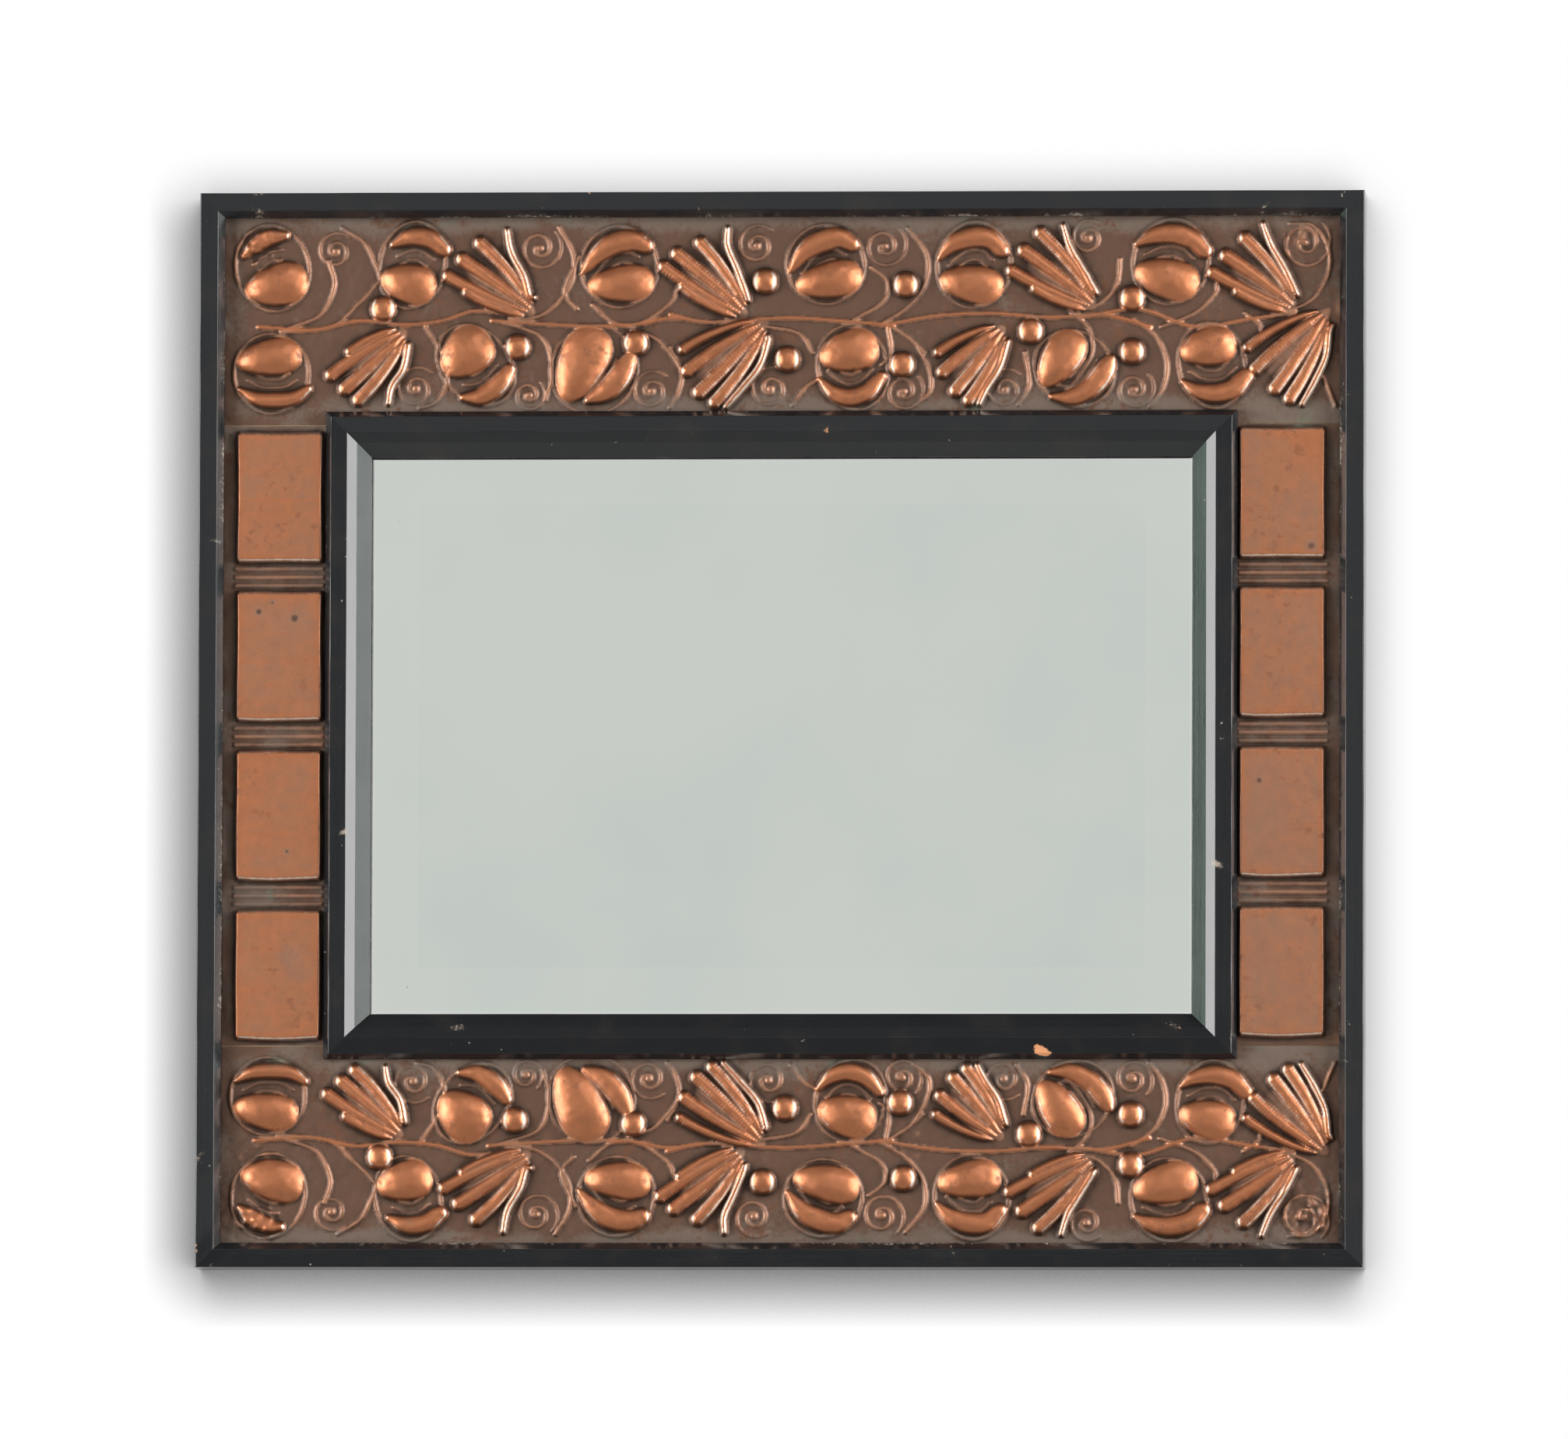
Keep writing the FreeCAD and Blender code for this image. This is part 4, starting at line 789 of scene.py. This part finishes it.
def stripField(foot, marks):  # the ornament of one strip: up runs from the inner to the outer moulding
    outer = strip["outer"]
    field = newField(strip["left"] - strip["underLip"], strip["right"] + strip["underLip"],
                     foot - strip["underFoot"], outer + strip["underLip"])

    def spot(across, up):  # shares of the strip as millimetres
        x = strip["left"] + across * (strip["right"] - strip["left"])
        return np.array([x, foot + up * (outer - foot)])
    for line in mainStem:
        path = np.array([[*spot(*point), relief["stem"]] for point in line])
        stroke(field, curve(path), relief["stemRise"], relief["stemShine"])
    for line in vines:
        path = np.array([[*spot(*point), relief["vine"]] for point in line])
        stroke(field, curve(path), relief["vineRise"], relief["vineShine"])
    for across, up, radius, hand in eyes:
        curl = scroll(spot(across, up), radius * relief["eyeSpread"], hand)
        stroke(field, curl, relief["eyeRise"], relief["eyeShine"])
        bean(field, spot(across, up), relief["eyeKnob"], relief["eyeKnob"], 0, relief["eyeKnobRise"],
             relief["eyeKnobShine"])
    for lobe, crescent in pods:
        arch = np.array([[*spot(*point[:2]), point[2]] for point in crescent])
        addPod(field, spot(*lobe[:2]), lobe[2:], arch)
    for start, tips, bends in tulips:
        addTulip(field, spot(*start), [spot(*tip) for tip in tips], [spot(*bend) for bend in bends])
    for across, up in berries:
        bean(field, spot(across, up), relief["berry"], relief["berry"], 0, relief["berryRise"],
             relief["berryShine"], power=0.58)
    shape = field["height"].shape
    for number, (across, up, size, depth) in enumerate(marks):
        away = (field["x"] - spot(across, up)[0]) ** 2 + (field["up"] - spot(across, up)[1]) ** 2
        near = np.exp(-away / size ** 2)
        field["height"] = field["height"] + near * depth * ripple(shape, 1.3, 7 + number)
        field["shine"] = field["shine"] + near * 0.28 * smoothStep(ripple(shape, 1.3, 7 + number) / 1.5)
    border = np.minimum(field["up"] - foot, outer - field["up"])
    caught = sheetWear["dustCaught"] * np.exp(-(np.clip(border, 0, None) / sheetWear["dustReach"]) ** 2)
    field["dust"] = sheetWear["dust"] + caught + ripple(shape, 7.0, 5) * sheetWear["dust"]
    return field


def finished(field, seed, edges):  # adds the uneven ground, then finds what stands out or lies in a hollow, and paints shade and highlight by the slope
    shape = field["height"].shape
    soften = sheetWear["soften"]
    raised = np.clip(field["height"] / sheetWear["raised"], 0, 1)
    ground = ripple(shape, 1.3, seed) * sheetWear["crumple"]
    ground = ground + ripple(shape, 3.6, seed + 1) * sheetWear["swell"]
    field["height"] = blurred(field["height"], soften) + ground * (1 - raised * (0.8 - 0.7 * edges))
    proud = field["height"] - blurred(field["height"], sheetWear["proudReach"])
    crest = field["height"] - blurred(field["height"], sheetWear["crestReach"])
    # raised forms come out brighter as rubbing, the ground beside them duller as patina and as painted shade
    shine = field["shine"] + np.clip(proud / 3, -0.25, 0.15) + ripple(shape, 6.0, seed + 2) * 0.04
    field["shine"] = np.clip(blurred(shine, soften), 0, 1)
    rise, run = np.gradient(field["height"], gridStep)
    steep = np.hypot(rise, run) + 0.01
    # steep flanks that face sideways are tinted pale as a painted highlight; those that face up or down are
    # darkened as a painted shade
    flankHighlight = smoothStep((steep - 0.45) / 0.6) * smoothStep((np.abs(run) / steep - 0.42) / 0.38)
    flankHighlight = flankHighlight * np.clip((field["height"] - 0.5) / 1.5, 0.2, 1) * raised
    # painted shade: steep flanks facing up or down are darkened
    under = smoothStep((steep - 0.55) / 0.7) * smoothStep((np.abs(rise) / steep - 0.72) / 0.2)
    low = np.clip(-proud / 1.25, 0, 1) * (1 - raised)  # the ground close beside a raised form, darkened as patina and as painted shade
    field["hollow"] = np.clip(field["hollow"] + low + under * sheetWear["flankShade"] * edges, 0, 1)
    # crests rubbed pale as wear, plus the painted highlight on flanks facing sideways
    brightShare = np.clip(crest / 0.4, 0, 1) * sheetWear["crestRub"] + flankHighlight * sheetWear["flankHighlightShare"]
    field["worn"] = np.clip(field["worn"] + brightShare * edges, 0, 1)
    # the height fades to nothing at the field's border, which lies under the mouldings
    edgeX = np.minimum(field["x"] - field["x"].min(), field["x"].max() - field["x"])
    edgeUp = np.minimum(field["up"] - field["up"].min(), field["up"].max() - field["up"])
    inward = smoothStep(np.minimum(edgeX, edgeUp) / sheetWear["border"])
    field["height"] = np.maximum(field["height"], -sheetWear["deepest"]) * inward
    return field


def fieldNormals(field):  # square to the slopes across and up
    rise, run = np.gradient(field["height"], field["up"][:, 0], field["x"][0])
    normals = np.stack([-run, -np.ones_like(run), -rise], axis=-1)
    return normals / np.linalg.norm(normals, axis=-1, keepdims=True)


def sheetPiece(name, field, columns, flip, node):  # part of a field as a closed sheet with a flat back
    x = field["x"][:, columns] * mm
    up = field["up"][:, columns] * mm * flip
    level = (sheetFront - field["height"][:, columns]) * mm
    rows, count = x.shape
    front = np.stack([x, level, up], axis=-1)
    back = (sheetFront + 0.5) * mm
    corners = np.array([[x[r, c], back, up[r, c]] for r, c in ((0, 0), (0, -1), (-1, -1), (-1, 0))])
    vertices = np.vstack([front.reshape(-1, 3), corners])
    index = np.arange(rows * count).reshape(rows, count)
    quads = np.stack([index[:-1, :-1], index[:-1, 1:], index[1:, 1:], index[1:, :-1]], axis=-1)
    quads = quads.reshape(-1, 4)
    a, b, c, d = range(rows * count, rows * count + 4)
    rims = [[a, b, *index[0, ::-1]], [b, c, *index[::-1, -1]], [c, d, *index[-1, :]],
            [d, a, *index[:, 0]], [d, c, b, a]]
    if flip < 0:
        quads = quads[:, ::-1]
        rims = [rim[::-1] for rim in rims]
    normals = fieldNormals(field)[:, columns] * (1, 1, flip)
    loops = np.concatenate([quads.ravel()] + [np.array(rim) for rim in rims])
    sizes = np.array([4] * len(quads) + [len(rim) for rim in rims])
    looks = {key: np.concatenate([field[key][:, columns].ravel(), np.full(4, 0.1)])
             for key in ("shine", "worn", "dust", "hollow")}
    piece = meshPiece(name, vertices, loops, sizes, np.arange(len(sizes)) < len(quads), looks, copper)
    allNormals = np.zeros((len(loops), 3))
    allNormals[:quads.size] = normals.reshape(-1, 3)[quads.ravel()]
    piece.data.normals_split_custom_set(allNormals.tolist())
    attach(piece, "frame")
    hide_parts(node)


for side, foot, flip in (("top", strip["topFoot"], 1), ("bottom", strip["bottomFoot"], -1)):
    field = finished(stripField(foot, dents[side]), 40 if flip > 0 else 60, 1.0)
    half = field["x"].shape[1] // 2
    sheetPiece("copper.%s.left" % side, field, slice(0, half + 1), flip, "copper_panel_" + side)
    sheetPiece("copper.%s.right" % side, field, slice(half, None), flip, "copper_panel_" + side)
print("strips made")


column = dict(tileWide=38.8, tileHigh=58.8, pitch=71.2, drop=(0.5, -0.9), inset=(2.2, 2.9), sideSlope=0.8,
              endSlope=1.7, rise=3.3, pillow=0.35, pillowWide=19, pillowHigh=29, sag=(0.6, 0.2),
              ribSpacing=3.7, ribHalf=1.25, ribRise=1.0, ribShine=(0.30, 0.20), tileShine=(0.655, 0.625),
              streak=0.05, lowerDim=0.06, lineBelow=0.85, lineAbove=0.6, rim=0.9, dust=0.5)
# Pits and scuffs of the tiles as column, tile, across, up, size in millimetres and how much brighter
scuffs = [
    (-1, 0.5, -9, 20, 1.3, -0.9), (-1, 0.5, 7, 17, 1.5, -0.8), (-1, 0.5, -3, 24, 0.9, -0.7),
    (-1, -0.5, 4, -16, 1.2, -0.7), (1, 1.5, 13, 23, 6.5, 0.35), (1, 1.5, 13, -24, 2.2, -0.6),
    (-1, -1.5, 6, 9, 5.0, -0.25), (1, -0.5, -10, 14, 1.2, -0.6),
]


def brushed(count, seed):  # one random number per row or column, slightly smoothed
    return np.convolve(np.random.default_rng(seed).standard_normal(count), (0.25, 0.5, 0.25), "same")


def columnField(hand):  # four raised tiles, three ribs between each pair; only their ends are rounded
    low, high = boxOf("copper_panel_" + ("left" if hand < 0 else "right"))
    field = newField(low[0] / mm, high[0] / mm, low[2] / mm, high[2] / mm)
    shape = field["height"].shape
    which = 0 if hand < 0 else 1
    middle = windowMiddle / mm - column["drop"][which]
    x = field["x"] - hand * ((footWide / mm + strip["right"]) / 2 - column["inset"][which])
    streaks = brushed(shape[0], 3)[:, None] if hand < 0 else brushed(shape[1], 4)[None, :]
    for place in (-1.5, -0.5, 0.5, 1.5):
        up = field["up"] - middle - place * column["pitch"]
        across = (x / column["pillowWide"]) ** 2
        bowed = column["sag"][place > 1] * across * (up < 0) + 0.15 * np.sin(x / 6.0 + place)
        sideways = (column["tileWide"] / 2 - np.abs(x) - 0.12 * np.sin(up / 9 + place)) / column["sideSlope"]
        endways = (column["tileHigh"] / 2 - np.abs(up) - bowed) / column["endSlope"]
        share = np.clip(np.minimum(sideways, endways), 0, 1)
        pillow = column["pillow"] * (1 - across) * (1 - (up / column["pillowHigh"]) ** 2)
        height = column["rise"] * np.sin(share * math.pi / 2) ** 0.8 + np.clip(pillow, 0, 1) * share
        taken = share > 0
        field["height"][taken] = height[taken]
        shine = column["tileShine"][which] + streaks * column["streak"]
        shine = shine - column["lowerDim"] * (place < 0) * hand
        for owner, tile, aside, above, size, gain in scuffs:
            if owner == hand and tile == place:
                near = np.exp(-((x - aside) ** 2 + (up - above) ** 2) / size ** 2)
                shine = shine + gain * near
                field["hollow"] += max(0, -gain) * 0.5 * near
        field["shine"][taken] = (shine * smoothStep(share / 0.6))[taken]
        # painted shade: the tiles' long sides are darkened where they drop to the ground
        rim = smoothStep((2.0 - column["tileWide"] / 2 + np.abs(x)) / 1.2)
        field["hollow"][taken] = np.maximum(field["hollow"], rim * column["rim"])[taken]
        line = np.exp(-((column["tileHigh"] / 2 - np.abs(up) - bowed - 1.3) / 0.7) ** 2)
        line = line * smoothStep(sideways / 2.5) * np.where(up < 0, column["lineBelow"], column["lineAbove"])
        field["worn"][taken] = np.maximum(field["worn"][taken], line[taken])
    for gap in (-1, 0, 1):
        for step in (-1, 0, 1):
            up = field["up"] - middle - gap * column["pitch"] - step * column["ribSpacing"]
            share = np.clip(1 - (up / column["ribHalf"]) ** 2, 0, 1)
            share = share * smoothStep((column["tileWide"] / 2 + 1.2 - np.abs(x)) / 1.5)
            raiseTo(field, np.s_[:, :], column["ribRise"] * share ** 0.6, column["ribShine"][abs(step)])
    dust = column["dust"] + ripple(shape, 5.0, 9 + hand) * 0.2
    field["dust"] = dust * np.where(field["height"] > 2, 0.2, 1.0)
    return field


for hand, side in ((-1, "left"), (1, "right")):
    field = finished(columnField(hand), 80 + hand, 0.0)
    sheetPiece("copper." + side, field, slice(None), 1, "copper_panel_" + side)
print("columns made")


# Carcase, plate and fittings keep their own meshes
paints = {
    "mirror_plate": mirror, "back_board": boardWood, "carcase_dowels": beech, "glass_blocks": pineAcross,
    "carcase_board_top": pineAcross, "carcase_board_bottom": pineAcross,
    "carcase_stile_left": pineUp, "carcase_stile_right": pineUp,
    "outer_rail_pins": steel, "inner_rail_screws": steel, "back_board_screws": steel,
}
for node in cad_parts:
    if node.startswith("hanger"):
        paints[node] = brass
for node, paint in paints.items():
    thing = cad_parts[node]
    thing.data.materials.clear()
    thing.data.materials.append(paint)
print("nodes painted")


# A white wall that keeps the object's soft shadow, deepest below and to the left, and a pale floor
stageLook = dict(floor=(0.72, 0.72, 0.71), drop=4.0, half=4.0, wallLevel=0.5 * mm,
                 shadowReach=26 * mm, shadowTilt=(0.5, -1.0, 0.5))


def seenRay(tree):  # 1 for what the camera sees, straight or in metal and glass
    rays = tree.nodes.new("ShaderNodeLightPath")
    return (Wire(tree, rays.outputs["Is Camera Ray"]) + Wire(tree, rays.outputs["Is Glossy Ray"])
            + Wire(tree, rays.outputs["Is Transmission Ray"])).clip()


def stagePiece(name, corners, white):  # a flat sheet seen from its front; lamplight passes the white one
    mesh = bpy.data.meshes.new(name)
    mesh.from_pydata(corners, [], [(0, 1, 2, 3)])
    piece = placed(name, mesh)
    paint = bpy.data.materials.new(name)
    paint.use_nodes = True
    tree = paint.node_tree
    tree.nodes.clear()
    clearness = build(tree, "ShaderNodeNewGeometry", {}, [], out=6)
    if white:
        clearness = clearness.maths("MAXIMUM", 1.0 - seenRay(tree))
        tilt = build(tree, "ShaderNodeCombineXYZ", {}, Vector(stageLook["shadowTilt"]).normalized())
        reached = build(tree, "ShaderNodeAmbientOcclusion", {"samples": 12},
                        {"Distance": stageLook["shadowReach"], "Normal": tilt}, out=1)
        shown = build(tree, "ShaderNodeEmission", {}, {"Strength": reached.maths("POWER", 1.5)})
    else:
        shown = build(tree, "ShaderNodeBsdfDiffuse", {}, {"Color": (*stageLook["floor"], 1)})
    clear = build(tree, "ShaderNodeBsdfTransparent", {}, [])
    both = build(tree, "ShaderNodeMixShader", {}, [clearness, shown, clear])
    build(tree, "ShaderNodeOutputMaterial", {}, [both])
    mesh.materials.append(paint)


half, drop, wallLevel = stageLook["half"], stageLook["drop"], stageLook["wallLevel"]
stagePiece("wall", [(-half, wallLevel, -drop), (half, wallLevel, -drop), (half, wallLevel, half),
                    (-half, wallLevel, half)], True)
stagePiece("floor", [(-half, wallLevel, -drop), (-half, -2 * half, -drop), (half, -2 * half, -drop),
                     (half, wallLevel, -drop)], False)

# The room: pale at eye level, darker overhead, below and at both sides, changing between the edges given
room = dict(pale=0.655, above=0.26, below=0.22, side=0.26, least=0.2, fill=0.42, colour=(0.97, 1.0, 0.98),
            aboveEdges=(0.25, 0.85), belowEdges=(-0.155, -0.12), sideEdges=(0.24, 0.36), sideShift=0.06)
world = bpy.data.worlds.new("room")
bpy.context.scene.world = world
world.use_nodes = True
tree = world.node_tree
tree.nodes.clear()
direction = build(tree, "ShaderNodeTexCoord", {}, [], out=0)
upness = build(tree, "ShaderNodeSeparateXYZ", {}, [direction], out=2)
paleness = room["pale"] - upness.over(*room["aboveEdges"]) * (room["pale"] - room["above"])
paleness = paleness - (1.0 - upness.over(*room["belowEdges"])) * (room["pale"] - room["below"])
across = build(tree, "ShaderNodeSeparateXYZ", {}, [direction], out=0) + room["sideShift"]
aside = across.maths("ABSOLUTE").over(*room["sideEdges"])
paleness = (paleness - aside * (room["pale"] - room["side"])).maths("MAXIMUM", room["least"])
seen = seenRay(tree)
strength = seen * paleness + (1.0 - seen) * room["fill"]
background = build(tree, "ShaderNodeBackground", {}, {"Color": (*room["colour"], 1), "Strength": strength})
build(tree, "ShaderNodeOutputWorld", {}, [background])


def softbox(name, degrees, height, away, wide, high, radiance, colour=(1, 1, 1)):
    # a rectangular lamp at an angle from straight ahead, facing the object; power from area and radiance
    lamp = bpy.data.lights.new(name, "AREA")
    lamp.shape = "RECTANGLE"
    lamp.size = wide
    lamp.size_y = high
    lamp.color = colour
    lamp.energy = radiance * math.pi * wide * high
    piece = placed(name, lamp)
    angle = math.radians(degrees)
    piece.location = (math.sin(angle) * away, -math.cos(angle) * away, height)
    piece.rotation_euler = (-piece.location).to_track_quat("-Z", "Y").to_euler()
    piece.visible_camera = False


softbox("sideLeft", -61.5, 0.15, 2.5, 1.1, 1.9, 10.8)
softbox("sideRight", 63.0, 0.25, 2.5, 1.15, 1.9, 11.2)
softbox("edgeLeft", -84.0, 0.15, 2.5, 0.5, 1.9, 2.9, (0.72, 1.0, 0.82))
softbox("edgeRight", 84.0, 0.25, 2.5, 0.5, 1.9, 4.6, (0.90, 1.0, 0.95))
softbox("key", 23.0, 2.2, 3.3, 1.5, 1.5, 2.4)
softbox("behind", 160.0, 1.2, 2.8, 1.8, 1.8, 6.5)

camera = bpy.data.cameras.new("camera")
camera.sensor_width = 36
cameraPiece = placed("camera", camera)
bpy.context.scene.camera = cameraPiece
shot = dict(distance=9.5, azimuth=3.5, elevation=-4.2, roll=0.18, field=0.6988, aim=(0.001, -0.012, 0.0050))
azimuth, elevation = math.radians(shot["azimuth"]), math.radians(shot["elevation"])
backward = Vector((math.sin(azimuth) * math.cos(elevation), -math.cos(azimuth) * math.cos(elevation),
                   math.sin(elevation)))
roll = Quaternion((0, 0, 1), math.radians(shot["roll"]))
cameraPiece.location = Vector(shot["aim"]) + backward * shot["distance"]
cameraPiece.rotation_euler = ((-backward).to_track_quat("-Z", "Y") @ roll).to_euler()
camera.lens = camera.sensor_width * shot["distance"] / shot["field"]
camera.clip_end = 60

bpy.context.scene.view_settings.view_transform = "Standard"
print("stage, room, lamps and camera set")
